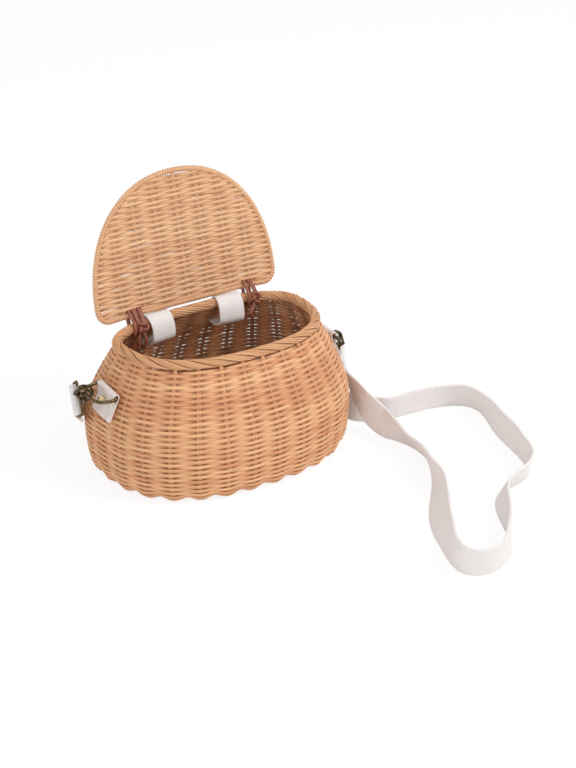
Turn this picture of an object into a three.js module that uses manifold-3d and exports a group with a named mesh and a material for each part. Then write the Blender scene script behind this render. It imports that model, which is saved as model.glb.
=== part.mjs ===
// A creel-shaped rattan crossbody bag with its lid open: a swelling woven basket with a rolled border,
// a D-shaped lid tied on at the back, two webbing loops over the back rim, and a flat webbing strap
// held at each end by a swivel snap hook on a D-ring in a folded leather tab.
// Millimetres, +Z up, +Y to the back where the lid hangs, origin on the floor under the middle.
import * as THREE from 'three';
import { mergeVertices } from 'three/addons/utils/BufferGeometryUtils.js';
import Module from 'manifold-3d';

const wasm = await Module();
wasm.setup();

// Fits and round counts
const GAP = 0.3;
const OVERRUN = 2;
const ROUND_SIDES = 16;
const WIRE_SIDES = 8;
const BASKET_STEPS = 48;
const LINK_STEPS = 28;
const LID_STEPS = 88;
const LACE_STEPS = 24;
const FOLD_STEPS = 8;
const CLAW_STEPS = 10;

// Basket: half sizes from the middle to the outer face
const BELLY_HALF_WIDTH = 110;
const BELLY_FRONT = 90;
const BELLY_BACK = 73.5;
const BELLY_HEIGHT = 46.5;
const TOP_HALF_WIDTH = 85;
const TOP_FRONT = 64.8;
const TOP_BACK = 38.8;
const BASE_INSET = 15;
const WALL = 3.6;
const BASE_THICKNESS = 3.2;
const RIM_HEIGHT = 107.8;
const RIM_RADIUS = 4.4;
const LOW_CURVE_POWER = 3.09;
const HIGH_CURVE_POWER = 1.37;
const PLAN_POWER = 2.47;

// Lid
const LID_HALF_WIDTH = 82.7;
const LID_DEPTH = 106;
const LID_CORNER = 9;
const LID_ROD_RADIUS = 2.5;
const LID_WEAVE = 4;
const LID_LEAN_DEGREES = 11.7;
const LID_PLAN_POWER = 2.19;
const HINGE_BACK = 37;
const RIB_RADIUS = 1.1;
const RIB_SPACING = 20;
const RIBS_EACH_SIDE = 3;

// Lace ties that are the hinges
const TIE_PLACES = [-51, 55.5];
const LACE_RADIUS = 1.25;
const LACE_SPACING = 3.1;
const KNOT_RADIUS = 3;
const TAIL_LENGTH = 15;

// Webbing loops over the back rim
const LOOP_PLACES = [-32, 35];
const LOOP_WIDTH = 22;
const WEBBING_THICKNESS = 1.5;
const LOOP_SLOT_BELOW_RIM = 20;
const LOOP_INNER_BULGE = 4.5;
const LOOP_OUTER_BULGE = 8;

// Leather tabs, studs and D-rings
const CLASP_HEIGHT = 72;
const CLASP_FORWARD = 8;
const TAB_WIDTH = 27;
const TAB_HEIGHT = 24;
const TAB_THICKNESS = 1.3;
const STUD_BALL_RADIUS = 3.2;
const STUD_SHANK_RADIUS = 1.3;
const STUD_FLARE_RADIUS = 2.4;
const STUD_FLARE = 0.8;
const STUD_DROP = 8;
const WASHER_RADIUS = 4.5;
const WASHER_THICKNESS = 0.8;
const RING_WIRE_RADIUS = 1.4;
const RING_DEPTH = 17.5;
const RING_LEG = 4;
const RING_CORNER = 2.2;

// Swivel snap hooks
const HOOK_THROAT_RADIUS = 3.2;
const HOOK_BAND = 2.4;
const HOOK_THICKNESS = 4.4;
const HOOK_THROAT_LENGTH = 6.5;
const HOOK_BASE = 3;
const HOOK_TIP = 1.2;
const GATE_THICKNESS = 2;
const GATE_PIN_RADIUS = 0.6;
const POST_RADIUS = 1.1;
const POST_HEAD_RADIUS = 2.3;
const POST_HEAD = 1;
const EYE_WIRE = 2.2;
const EYE_OPENING = 4.6;

// Shoulder strap
const STRAP_WIDTH = 25;
const STRAP_THICKNESS = 1.8;
const STRAP_END_LENGTH = 7;
const STRAP_LEAD = 4;
const STRAP_STEPS = 80;

// Where each clasp hangs, in degrees: the tab's turn on the wall, the ring's droop from square to the wall,
// the point of the ring that the hook holds as an angle round its bow, the hook's direction along and
// out of the tab, the turn of its eye about that direction, and the strap's bend at the eye's bar
const CLASPS = {
  left: {
    side: -1, tabTurn: -5, droop: 26, bowAngle: 125,
    hookWay: [-0.62993, -0.76711, -0.12138], spineUp: true, eyeTurn: 60, strapBend: -37,
  },
  right: {
    side: 1, tabTurn: 5, droop: 65, bowAngle: 90,
    hookWay: [-0.13615, -0.98332, -0.12057], spineUp: false, eyeTurn: -52, strapBend: 0,
  },
};

// The strap's free run from the right hook to the left hook: the middle of the webbing and the
// direction of its width, chosen by hand
const STRAP_ROUTE = [
  [122.4, -12.6, 36, -0.6, -0.62, 0.5],
  [120.3, -18.5, 33.6, -0.38, -0.2, 0.9],
  [117.2, -27, 32.8, -0.25, -0.1, 0.96],
  [114.6, -45.9, 28.9, -0.05, -0.63, 0.78],
  [116, -51.2, 25.4, 0.08, -0.65, 0.75],
  [119, -57.4, 18.2, 0.29, -0.59, 0.75],
  [120.4, -61.7, 15.3, 0.22, -0.38, 0.9],
  [121.7, -67.3, 13.4, 0.14, -0.15, 0.98],
  [122.7, -78.8, 13.2, -0.16, -0.06, 0.98],
  [123, -85.1, 12.8, -0.3, -0.09, 0.95],
  [123.3, -91, 12.3, -0.4, -0.08, 0.91],
  [123.2, -96.3, 11.8, -0.48, -0.06, 0.87],
  [122.5, -104.4, 11.3, -0.56, 0.03, 0.83],
  [120.9, -114.3, 11.3, -0.54, 0.15, 0.83],
  [117.6, -125.6, 11.9, -0.42, 0.21, 0.88],
  [111.9, -138.3, 12.7, -0.27, 0.19, 0.95],
  [103, -154.3, 13.4, -0.07, 0.06, 1.0],
  [93.5, -173, 12.6, 0.26, -0.24, 0.93],
  [75.5, -197.2, 11.3, 0.44, -0.34, 0.83],
  [63.4, -214.6, 11.7, 0.45, -0.23, 0.87],
  [53.4, -232.9, 12.6, 0.32, -0.12, 0.94],
  [41, -257.5, 13.4, 0.07, -0.02, 1.0],
  [39.1, -266.2, 13.4, -0.03, 0, 1.0],
  [40.2, -273.3, 13.2, -0.13, -0.08, 0.99],
  [46.4, -280.1, 13.1, -0.1, -0.2, 0.97],
  [60.6, -281.3, 13.2, 0.02, -0.16, 0.99],
  [72.5, -276, 13.4, 0.01, -0.02, 1.0],
  [83.3, -268.2, 13.4, -0.04, 0.06, 1.0],
  [99.1, -251.1, 13.4, 0.0, 0.0, 1.0],
  [109.7, -234.8, 13.2, 0.14, -0.07, 0.99],
  [117.1, -223.2, 13, 0.23, -0.13, 0.97],
  [126.2, -211.6, 12.6, 0.28, -0.22, 0.93],
  [135.7, -203.9, 12.1, 0.25, -0.36, 0.9],
  [143.8, -200.3, 11.9, 0.14, -0.45, 0.88],
  [155.9, -197.8, 12.1, 0.05, -0.44, 0.9],
  [165, -195.1, 12.6, 0.07, -0.33, 0.94],
  [172.8, -190.5, 13.2, 0.09, -0.17, 0.98],
  [179.7, -182.2, 13.4, 0.03, -0.02, 1.0],
  [186, -169, 13.4, -0.05, 0.02, 1.0],
  [192.9, -149.6, 13.4, 0.02, 0, 1.0],
  [198.1, -129.4, 13.4, 0.03, -0.01, 1.0],
  [202.9, -114.3, 13.4, 0.02, -0.01, 1.0],
  [207.7, -100.2, 13.4, -0.08, 0.04, 1.0],
  [211.7, -86.2, 13.1, -0.21, 0.07, 0.97],
  [212.9, -74.8, 12.7, -0.33, 0.02, 0.95],
  [211.9, -68.9, 12.6, -0.32, -0.12, 0.94],
  [210.2, -65.5, 12.7, -0.26, -0.2, 0.95],
  [202, -59.1, 12.7, -0.15, -0.29, 0.95],
  [184.7, -53.3, 12.8, -0.05, -0.3, 0.95],
  [163.2, -50.5, 13, -0.02, -0.26, 0.97],
  [139.2, -48, 12.9, -0.07, -0.28, 0.96],
  [131.5, -42.3, 12.9, -0.09, -0.2, 0.98],
  [125, -38.6, 13.2, -0.06, -0.1, 0.99],
  [119.6, -32.5, 13.3, 0.0, 0.0, 1.0],
  [116, -24, 13.3, 0.0, 0.0, 1.0],
  [114.3, -12, 13.3, 0.0, 0.0, 1.0],
  [114.8, 4, 13.3, 0.0, 0.0, 1.0],
  [114, 22, 13.3, 0.0, 0.0, 1.0],
  [109, 44, 13.3, 0.0, 0.0, 1.0],
  [97, 66, 13.3, 0.0, 0.0, 1.0],
  [76, 85, 13.3, 0.0, 0.0, 1.0],
  [44, 98, 13.3, 0.0, 0.0, 1.0],
  [8, 103, 13.4, 0.0, 0.0, 1.0],
  [-28, 101.5, 15.5, 0.0, 0.02, 1.0],
  [-55, 92.5, 22, 0.02, 0.1, 0.99],
  [-74, 78.5, 30.5, 0.08, 0.2, 0.97],
  [-85.5, 64, 38.5, 0.14, 0.3, 0.94],
  [-92.6, 54.2, 44.7, 0.2, 0.34, 0.92],
  [-100.2, 43.1, 50.8, 0.23, 0.38, 0.9],
  [-107.2, 32, 55.6, 0.24, 0.5, 0.83],
];

const X = new THREE.Vector3(1, 0, 0);
const Y = new THREE.Vector3(0, 1, 0);
const Z = new THREE.Vector3(0, 0, 1);
const radians = THREE.MathUtils.degToRad;

const rattan = { color: 0xd3a06a, roughness: 0.6, metalness: 0 };
const cane = { color: 0xd9a874, roughness: 0.55, metalness: 0 };
const lace = { color: 0x9a5640, roughness: 0.6, metalness: 0 };
const webbing = { color: 0xe9e5e4, roughness: 0.9, metalness: 0 };
const leather = { color: 0xeae3e2, roughness: 0.6, metalness: 0 };
const brass = { color: 0xb9a878, roughness: 0.3, metalness: 1 };
const bronze = { color: 0x5a4c33, roughness: 0.35, metalness: 1 };

const bag = new THREE.Group();

// A closed solid ready for joining and cutting
function solid(geometry, matrix) {
  const bare = geometry.clone();
  bare.deleteAttribute('normal');
  if (bare.getAttribute('uv')) bare.deleteAttribute('uv');
  if (matrix) bare.applyMatrix4(matrix);
  const merged = mergeVertices(bare, GAP / 1000);
  return new wasm.Manifold(new wasm.Mesh({
    numProp: 3,
    vertProperties: new Float32Array(merged.getAttribute('position').array),
    triVerts: new Uint32Array(merged.index.array),
  }));
}

// The geometry of a joined or cut solid
function shape(manifold) {
  const mesh = manifold.getMesh();
  const geometry = new THREE.BufferGeometry();
  geometry.setAttribute('position', new THREE.BufferAttribute(new Float32Array(mesh.vertProperties), 3));
  geometry.setIndex(new THREE.BufferAttribute(new Uint32Array(mesh.triVerts), 1));
  geometry.computeVertexNormals();
  return geometry;
}

function add(name, geometry, finish, parent = bag) {
  const mesh = new THREE.Mesh(geometry, new THREE.MeshStandardMaterial(finish));
  mesh.name = name;
  parent.add(mesh);
  return mesh;
}

function moved(x, y, z) {
  return new THREE.Matrix4().makeTranslation(x, y, z);
}

// A cylinder along Z between two heights
function pegAlongZ(radius, low, high, sides = ROUND_SIDES) {
  const peg = new THREE.CylinderGeometry(radius, radius, high - low, sides);
  return peg.rotateX(Math.PI / 2).translate(0, 0, (low + high) / 2);
}

function block(lowX, highX, lowY, highY, lowZ, highZ) {
  const box = new THREE.BoxGeometry(highX - lowX, highY - lowY, highZ - lowZ);
  return box.translate((lowX + highX) / 2, (lowY + highY) / 2, (lowZ + highZ) / 2);
}

// A flat outline made a slab, centred on its own plane
function slab(outline, thickness, holes = []) {
  const plan = new THREE.Shape(outline);
  plan.holes = holes.map((hole) => new THREE.Path(hole));
  const body = new THREE.ExtrudeGeometry(plan, { depth: thickness, bevelEnabled: false });
  return body.translate(0, 0, -thickness / 2);
}

// A round rod bent into a closed loop
function hoop(points, radius, steps, sides = WIRE_SIDES) {
  const curve = new THREE.CatmullRomCurve3(points, true, 'centripetal');
  const tube = new THREE.TubeGeometry(curve, steps, radius, sides, true);
  tube.deleteAttribute('normal');
  tube.deleteAttribute('uv');
  return mergeVertices(tube, GAP / 1000);
}

// Rings of points joined to each other, and the last ring to the first
function closedLoft(rings) {
  const count = rings[0].length;
  const positions = rings.flat().flatMap((point) => point.toArray());
  const index = [];
  rings.forEach((ring, i) => {
    const next = (i + 1) % rings.length;
    ring.forEach((_, j) => {
      const k = (j + 1) % count;
      index.push(i * count + j, i * count + k, next * count + k);
      index.push(i * count + j, next * count + k, next * count + j);
    });
  });
  const geometry = new THREE.BufferGeometry();
  geometry.setAttribute('position', new THREE.Float32BufferAttribute(positions, 3));
  geometry.setIndex(index);
  geometry.computeVertexNormals();
  return geometry;
}

const WALL_TOP = RIM_HEIGHT - RIM_RADIUS - GAP;

// How far the wall has swollen from the foot towards the belly, and drawn in again towards the top
function swell(height) {
  const left = Math.max(0, 1 - height / BELLY_HEIGHT);
  return (1 - left ** LOW_CURVE_POWER) ** (1 / LOW_CURVE_POWER);
}

function taper(height) {
  const rise = Math.max(0, (height - BELLY_HEIGHT) / (RIM_HEIGHT - BELLY_HEIGHT));
  return Math.min(1, rise) ** HIGH_CURVE_POWER;
}

function halfSizes(height) {
  const foot = BASE_INSET * (1 - swell(height));
  const top = taper(height);
  return {
    side: THREE.MathUtils.lerp(BELLY_HALF_WIDTH, TOP_HALF_WIDTH, top) - foot,
    front: THREE.MathUtils.lerp(BELLY_FRONT, TOP_FRONT, top) - foot,
    back: THREE.MathUtils.lerp(BELLY_BACK, TOP_BACK, top) - foot,
  };
}

// A point of the basket's plan at one height, drawn in by an inset
function planPoint(height, angle, inset = 0) {
  const size = halfSizes(height);
  const across = Math.cos(angle);
  const along = Math.sin(angle);
  const depth = along > 0 ? size.back : size.front;
  return new THREE.Vector2(
    (size.side - inset) * Math.sign(across) * Math.abs(across) ** (2 / PLAN_POWER),
    (depth - inset) * Math.sign(along) * Math.abs(along) ** (2 / PLAN_POWER),
  );
}

// How far back the plan lies at one place across the bag
function backAt(x, height, inset = 0) {
  const size = halfSizes(height);
  const share = Math.min(1, Math.abs(x) / (size.side - inset));
  return (size.back - inset) * (1 - share ** PLAN_POWER) ** (1 / PLAN_POWER);
}

function planRing(height, inset, level) {
  return Array.from({ length: BASKET_STEPS }, (_, i) => {
    const point = planPoint(height, (i / BASKET_STEPS) * 2 * Math.PI, inset);
    return new THREE.Vector3(point.x, point.y, level);
  });
}

// The wall's mean lean at one height: the outward and upward shares of its outward normal
function wallNormal(height) {
  const reach = BELLY_HEIGHT / 100;
  const mean = (h) => (halfSizes(h).side + halfSizes(h).front + halfSizes(h).back) / 3;
  const low = Math.max(0, height - reach);
  const high = height + reach;
  const slope = new THREE.Vector2(mean(high) - mean(low), high - low).normalize();
  return { out: slope.y, up: -slope.x };
}

// Heights of the wall's rings, closer together where the foot turns
const FOOT_TURN_SHARES = [0.42, 0.66, 0.84, 0.95];
const UPPER_WALL_SHARES = [0.2, 0.4, 0.6, 0.8];

function wallHeights() {
  const foot = FOOT_TURN_SHARES.map((share) => {
    const left = (1 - share ** LOW_CURVE_POWER) ** (1 / LOW_CURVE_POWER);
    return BELLY_HEIGHT * (1 - left);
  });
  const upper = UPPER_WALL_SHARES.map((share) => THREE.MathUtils.lerp(BELLY_HEIGHT, WALL_TOP, share));
  return [0, ...foot, BELLY_HEIGHT, ...upper, WALL_TOP];
}

function basketWall() {
  const heights = wallHeights();
  const outer = heights.map((height) => planRing(height, 0, height));
  const inner = heights.map((height) => {
    if (height === 0) return planRing(0, 0, WALL);
    if (height === WALL_TOP) return planRing(WALL_TOP, WALL, WALL_TOP);
    const normal = wallNormal(height);
    const level = Math.max(height - WALL * normal.up, WALL);
    return planRing(height, WALL * normal.out, level);
  });
  return solid(closedLoft([...outer, ...inner.reverse()]));
}

function basketBase() {
  const outline = planRing(0, GAP, 0).map((point) => new THREE.Vector2(point.x, point.y));
  return slab(outline, BASE_THICKNESS).translate(0, 0, BASE_THICKNESS / 2);
}

// The rolled border's middle line, over the middle of the wall's top edge
function rimPoint(angle) {
  const point = planPoint(RIM_HEIGHT, angle, WALL / 2);
  return new THREE.Vector3(point.x, point.y, RIM_HEIGHT);
}

function rimBorder() {
  const points = Array.from({ length: BASKET_STEPS }, (_, i) => rimPoint((i / BASKET_STEPS) * 2 * Math.PI));
  return hoop(points, RIM_RADIUS, BASKET_STEPS, ROUND_SIDES / 2 + 2);
}

function rimBackAt(x) {
  return backAt(x, RIM_HEIGHT, WALL / 2);
}

// The hinge rod lies over the back rim, with the loops' webbing between them
const HINGE_HEIGHT = RIM_HEIGHT + RIM_RADIUS + WEBBING_THICKNESS + 2 * GAP + LID_ROD_RADIUS;

// The lid in its own plane: x across, y up from the hinge rod's middle
function lidOutline(inset, steps) {
  const half = LID_HALF_WIDTH - inset;
  const corner = LID_CORNER - inset;
  const points = [];
  for (let i = 0; i <= steps; i += 1) {
    const angle = (i / steps) * Math.PI;
    const across = Math.cos(angle);
    const rise = (LID_DEPTH - LID_CORNER - inset) * Math.abs(Math.sin(angle)) ** (2 / LID_PLAN_POWER);
    points.push(new THREE.Vector2(
      half * Math.sign(across) * Math.abs(across) ** (2 / LID_PLAN_POWER),
      LID_CORNER + rise,
    ));
  }
  [1, 2, 3].forEach((step) => {
    const angle = Math.PI + (step / 3) * (Math.PI / 2);
    points.push(new THREE.Vector2(
      -half + corner + corner * Math.cos(angle),
      LID_CORNER + corner * Math.sin(angle),
    ));
  });
  [-0.95, -0.75, -0.5, -0.25, 0, 0.25, 0.5, 0.75, 0.95].forEach((share) => {
    points.push(new THREE.Vector2(share * (half - corner), LID_CORNER - corner));
  });
  [1, 2, 3].forEach((step) => {
    const angle = (3 * Math.PI) / 2 + ((step - 1) / 3) * (Math.PI / 2);
    points.push(new THREE.Vector2(
      half - corner + corner * Math.cos(angle),
      LID_CORNER + corner * Math.sin(angle),
    ));
  });
  return points;
}

function lidFrame() {
  const line = lidOutline(0, 30);
  const points = line.map((point) => new THREE.Vector3(point.x, point.y, 0));
  return hoop(points, LID_ROD_RADIUS, LID_STEPS);
}

function ribPlaces() {
  return Array.from({ length: 2 * RIBS_EACH_SIDE + 1 }, (_, i) => RIB_SPACING * (i - RIBS_EACH_SIDE));
}

// How high the lid's outline stands above one place across it
function lidTopAt(x, inset) {
  const share = Math.min(1, Math.abs(x) / (LID_HALF_WIDTH - inset));
  const rise = (1 - share ** LID_PLAN_POWER) ** (1 / LID_PLAN_POWER);
  return LID_CORNER + (LID_DEPTH - LID_CORNER - inset) * rise;
}

const LID_INSET = LID_ROD_RADIUS + GAP;
// Half the width of a tie with its clearance, and how far a lace reaches from the rod's middle
const TIE_HALF_WIDTH = LACE_SPACING / 2 + LACE_RADIUS + 2 * GAP;
const TIE_REACH = LID_ROD_RADIUS + GAP + 2 * LACE_RADIUS;

function lidWeave() {
  let panel = solid(slab(lidOutline(LID_INSET, 30), LID_WEAVE));
  ribPlaces().forEach((x) => {
    const bore = pegAlongZ(RIB_RADIUS + GAP, -OVERRUN, LID_DEPTH + OVERRUN, WIRE_SIDES);
    panel = panel.subtract(solid(bore.rotateX(-Math.PI / 2), moved(x, 0, 0)));
  });
  TIE_PLACES.forEach((x) => {
    const notch = block(-TIE_HALF_WIDTH, TIE_HALF_WIDTH, -OVERRUN, TIE_REACH + 5 * LACE_RADIUS,
      -LID_WEAVE, LID_WEAVE);
    panel = panel.subtract(solid(notch, moved(x, 0, 0)));
  });
  return shape(panel);
}

function lidRib(x) {
  const top = lidTopAt(Math.abs(x) + RIB_RADIUS, LID_ROD_RADIUS) - 2 * GAP;
  return pegAlongZ(RIB_RADIUS, LID_INSET, top, WIRE_SIDES).rotateX(-Math.PI / 2).translate(x, 0, 0);
}

// A lace's way round the hinge rod and the rim together, in the plane across the bag
function lacePoints(x, rimY) {
  const rod = { y: HINGE_BACK, z: HINGE_HEIGHT, reach: LID_ROD_RADIUS + GAP + LACE_RADIUS };
  const rim = { y: rimY, z: RIM_HEIGHT, reach: RIM_RADIUS + 2.5 * GAP + LACE_RADIUS };
  return Array.from({ length: ROUND_SIDES }, (_, i) => {
    const angle = (i / ROUND_SIDES) * 2 * Math.PI;
    const way = { y: Math.cos(angle), z: Math.sin(angle) };
    const support = (circle) => circle.y * way.y + circle.z * way.z + circle.reach;
    const circle = support(rod) > support(rim) ? rod : rim;
    return new THREE.Vector3(x, circle.y + circle.reach * way.y, circle.z + circle.reach * way.z);
  });
}

// Two turns of lace, the knot inside the rim and two loose tails
function hingeTie(x) {
  const rimY = rimBackAt(x);
  const knotY = rimY - RIM_RADIUS - 2.5 * GAP - KNOT_RADIUS;
  const turn = (side) => {
    const place = x + (side * LACE_SPACING) / 2;
    return solid(hoop(lacePoints(place, rimBackAt(place)), LACE_RADIUS, LACE_STEPS, WIRE_SIDES));
  };
  const knot = new THREE.SphereGeometry(KNOT_RADIUS, WIRE_SIDES + 2, WIRE_SIDES);
  let tie = turn(-1).add(turn(1)).add(solid(knot, moved(x, knotY, RIM_HEIGHT)));
  [-1, 1].forEach((side) => {
    const tail = pegAlongZ(LACE_RADIUS, -TAIL_LENGTH, 0, WIRE_SIDES).rotateY(side * -radians(22));
    tie = tie.add(solid(tail, moved(x, knotY, RIM_HEIGHT)));
  });
  return shape(tie);
}

// The notch that lets a tie pass under the rim, through the top of the wall
function tieNotch(x) {
  const y = rimBackAt(x);
  const drop = RIM_RADIUS + 2 * GAP + 2 * LACE_RADIUS;
  return solid(block(x - TIE_HALF_WIDTH, x + TIE_HALF_WIDTH, y - 2 * WALL, y + 2 * WALL,
    RIM_HEIGHT - drop - GAP, RIM_HEIGHT));
}

const LOOP_SLOT_HEIGHT = RIM_HEIGHT - LOOP_SLOT_BELOW_RIM;
const LOOP_CLEAR = GAP + WEBBING_THICKNESS / 2;

// The middle of a rear loop's webbing in the plane across the bag, as y and z
function loopRoute(x) {
  const rimY = rimBackAt(x);
  const rimReach = RIM_RADIUS + LOOP_CLEAR;
  const inner = rimY - rimReach - LOOP_INNER_BULGE;
  const slotInner = backAt(x, LOOP_SLOT_HEIGHT, WALL);
  const slotOuter = backAt(x, LOOP_SLOT_HEIGHT, 0);
  const middle = (LOOP_SLOT_HEIGHT + RIM_HEIGHT) / 2;
  const outer = backAt(x, middle, 0) + LOOP_OUTER_BULGE;
  const drop = LOOP_SLOT_BELOW_RIM;
  return [
    [rimY, RIM_HEIGHT + rimReach],
    [rimY - 0.75 * rimReach, RIM_HEIGHT + 0.8 * rimReach],
    [rimY - 0.55 * (rimY - inner) - 0.45 * rimReach, RIM_HEIGHT + 0.05 * rimReach],
    [inner, RIM_HEIGHT - 0.3 * drop],
    [inner + GAP, RIM_HEIGHT - 0.68 * drop],
    [inner + 0.35 * (slotInner - inner), LOOP_SLOT_HEIGHT + 0.06 * drop],
    [slotInner - WALL, LOOP_SLOT_HEIGHT],
    [slotOuter + WALL / 2, LOOP_SLOT_HEIGHT],
    [slotOuter + WALL + 0.3 * LOOP_OUTER_BULGE, LOOP_SLOT_HEIGHT + 0.1 * drop],
    [outer + LOOP_CLEAR, middle],
    [backAt(x, WALL_TOP, 0) + LOOP_CLEAR + 0.55 * LOOP_OUTER_BULGE, WALL_TOP - 0.05 * drop],
    [rimY + 1.05 * rimReach, RIM_HEIGHT + 0.35 * rimReach],
    [rimY + 0.62 * rimReach, RIM_HEIGHT + 0.86 * rimReach],
  ].map(([y, z]) => new THREE.Vector3(y, z, 0));
}

// A loop's turn about the upright line through the rim, so that its width follows the rim there
function loopTurn(x) {
  const reach = LOOP_WIDTH / 2;
  const angle = Math.atan2(rimBackAt(x + reach) - rimBackAt(x - reach), 2 * reach);
  const turn = new THREE.Matrix4().makeRotationZ(angle);
  return moved(x, rimBackAt(x), 0).multiply(turn).multiply(moved(-x, -rimBackAt(x), 0));
}

// A closed band of webbing: the route thickened to both sides and made as wide as the webbing
function rearLoop(x) {
  const curve = new THREE.CatmullRomCurve3(loopRoute(x), true, 'centripetal');
  const count = 40;
  const edge = (offset) => Array.from({ length: count }, (_, i) => {
    const point = curve.getPoint(i / count);
    const way = curve.getTangent(i / count);
    return new THREE.Vector2(point.x - way.y * offset, point.y + way.x * offset);
  });
  const half = WEBBING_THICKNESS / 2;
  const band = slab(edge(-half), LOOP_WIDTH, [edge(half)]);
  const turn = new THREE.Matrix4().makeBasis(Y, Z, X);
  return band.applyMatrix4(turn).translate(x, 0, 0).applyMatrix4(loopTurn(x));
}

function loopSlot(x) {
  const half = LOOP_WIDTH / 2 + GAP;
  const room = WEBBING_THICKNESS / 2 + 2 * GAP;
  const slot = block(x - half, x + half, 0, BELLY_BACK + OVERRUN,
    LOOP_SLOT_HEIGHT - room, LOOP_SLOT_HEIGHT + room);
  return solid(slot, loopTurn(x));
}

// The frame of a clasp on the wall: x along the tab's width, y up the wall, z out of it
function claspFrame({ side, tabTurn }) {
  const size = halfSizes(CLASP_HEIGHT);
  const reach = BELLY_HEIGHT / 10;
  const run = halfSizes(CLASP_HEIGHT + reach).side - halfSizes(CLASP_HEIGHT - reach).side;
  const up = new THREE.Vector3(side * run, 0, 2 * reach).normalize();
  const out = new THREE.Vector3(side * up.z, 0, -side * up.x);
  const across = new THREE.Vector3().crossVectors(up, out);
  const half = size.side * (1 - (CLASP_FORWARD / size.front) ** PLAN_POWER) ** (1 / PLAN_POWER);
  const frame = new THREE.Matrix4().makeBasis(across, up, out);
  frame.setPosition(side * half, -CLASP_FORWARD, CLASP_HEIGHT);
  return frame.multiply(new THREE.Matrix4().makeRotationZ(radians(tabTurn)));
}

const TAB_BACK = 1.5 * GAP;
const BAR_BORE = RING_WIRE_RADIUS + GAP;
const BAR_OUT = TAB_BACK + TAB_THICKNESS + BAR_BORE;
const BAR_UP = TAB_HEIGHT / 2 - TAB_THICKNESS - BAR_BORE;
const TAB_FRONT = TAB_BACK + 2 * TAB_THICKNESS + GAP;
const STUD_UP = BAR_UP - STUD_DROP;

// A strip folded round a bar: y along the strip, x through it, the bar's middle at the origin
function foldOutline(bore, thickness, back, length) {
  const outer = bore + thickness;
  const arc = (radius, from, to) => Array.from({ length: FOLD_STEPS + 1 }, (_, i) => {
    const angle = THREE.MathUtils.lerp(from, to, i / FOLD_STEPS);
    return new THREE.Vector2(radius * Math.cos(angle), radius * Math.sin(angle));
  });
  const pinch = -2.4 * outer;
  const front = back + 2 * thickness + GAP;
  return [
    new THREE.Vector2(back, -length),
    new THREE.Vector2(back, pinch),
    ...arc(outer, Math.PI, 0),
    new THREE.Vector2(front, pinch),
    new THREE.Vector2(front, -length),
    new THREE.Vector2(front - thickness, -length),
    new THREE.Vector2(front - thickness, pinch),
    ...arc(bore, 0, Math.PI),
    new THREE.Vector2(back + thickness, pinch),
    new THREE.Vector2(back + thickness, -length),
  ];
}

function leatherTab() {
  const outline = foldOutline(BAR_BORE, TAB_THICKNESS, TAB_BACK - BAR_OUT, BAR_UP + TAB_HEIGHT / 2);
  const turn = new THREE.Matrix4().makeBasis(Z, Y, X.clone().negate());
  const fold = slab(outline, TAB_WIDTH).applyMatrix4(turn).translate(0, BAR_UP, BAR_OUT);
  const hole = pegAlongZ(STUD_SHANK_RADIUS + GAP, -OVERRUN, TAB_FRONT + OVERRUN);
  return shape(solid(fold).subtract(solid(hole, moved(0, STUD_UP, 0))));
}

// Where the stud's inner flare and its washer lie behind the wall
const WASHER_TOP = -WALL - 2.5 * GAP;
const FLARE_TOP = WASHER_TOP - WASHER_THICKNESS - GAP;

// A ball-headed stud turned about its axis, with its end flared over the washer
function ballStud() {
  const seat = TAB_FRONT + GAP;
  const ball = STUD_BALL_RADIUS;
  const centre = seat + 0.9 * ball;
  const profile = [new THREE.Vector2(0, FLARE_TOP - STUD_FLARE)];
  profile.push(new THREE.Vector2(STUD_FLARE_RADIUS, FLARE_TOP - STUD_FLARE));
  profile.push(new THREE.Vector2(STUD_FLARE_RADIUS, FLARE_TOP));
  profile.push(new THREE.Vector2(STUD_SHANK_RADIUS, FLARE_TOP));
  profile.push(new THREE.Vector2(STUD_SHANK_RADIUS, seat));
  for (let i = 0; i <= 7; i += 1) {
    const angle = THREE.MathUtils.lerp(-1.12, Math.PI / 2, i / 7);
    profile.push(new THREE.Vector2(ball * Math.cos(angle), centre + ball * Math.sin(angle)));
  }
  profile[profile.length - 1].x = 0;
  return new THREE.LatheGeometry(profile, ROUND_SIDES).rotateX(Math.PI / 2).translate(0, STUD_UP, 0);
}

function washer() {
  const disc = pegAlongZ(WASHER_RADIUS, WASHER_TOP - WASHER_THICKNESS, WASHER_TOP);
  const hole = pegAlongZ(STUD_SHANK_RADIUS + GAP, FLARE_TOP - OVERRUN, OVERRUN);
  return shape(solid(disc, moved(0, STUD_UP, 0)).subtract(solid(hole, moved(0, STUD_UP, 0))));
}

function studHole(frame) {
  const hole = pegAlongZ(STUD_SHANK_RADIUS + GAP, -WALL - 2 * OVERRUN, OVERRUN);
  return solid(hole.translate(0, STUD_UP, 0), frame);
}

const RING_HALF_WIDTH = TAB_WIDTH / 2 + GAP + RING_WIRE_RADIUS;

// A point of the ring's bow: x across, y out from its bar
function bowPoint(angle) {
  return new THREE.Vector3(
    RING_HALF_WIDTH * Math.cos(angle),
    RING_LEG + (RING_DEPTH - RING_LEG) * Math.sin(angle),
    0,
  );
}

function ringPoints() {
  const points = [];
  const bow = 16;
  for (let i = 0; i <= bow; i += 1) points.push(bowPoint((i / bow) * Math.PI));
  const corner = RING_CORNER;
  const half = RING_HALF_WIDTH;
  points.push(new THREE.Vector3(-half, corner, 0));
  points.push(new THREE.Vector3(-half + 0.3 * corner, 0.3 * corner, 0));
  points.push(new THREE.Vector3(-half + corner, 0, 0));
  [-0.5, 0, 0.5].forEach((share) => points.push(new THREE.Vector3(share * TAB_WIDTH, 0, 0)));
  points.push(new THREE.Vector3(half - corner, 0, 0));
  points.push(new THREE.Vector3(half - 0.3 * corner, 0.3 * corner, 0));
  points.push(new THREE.Vector3(half, corner, 0));
  return points;
}

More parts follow.
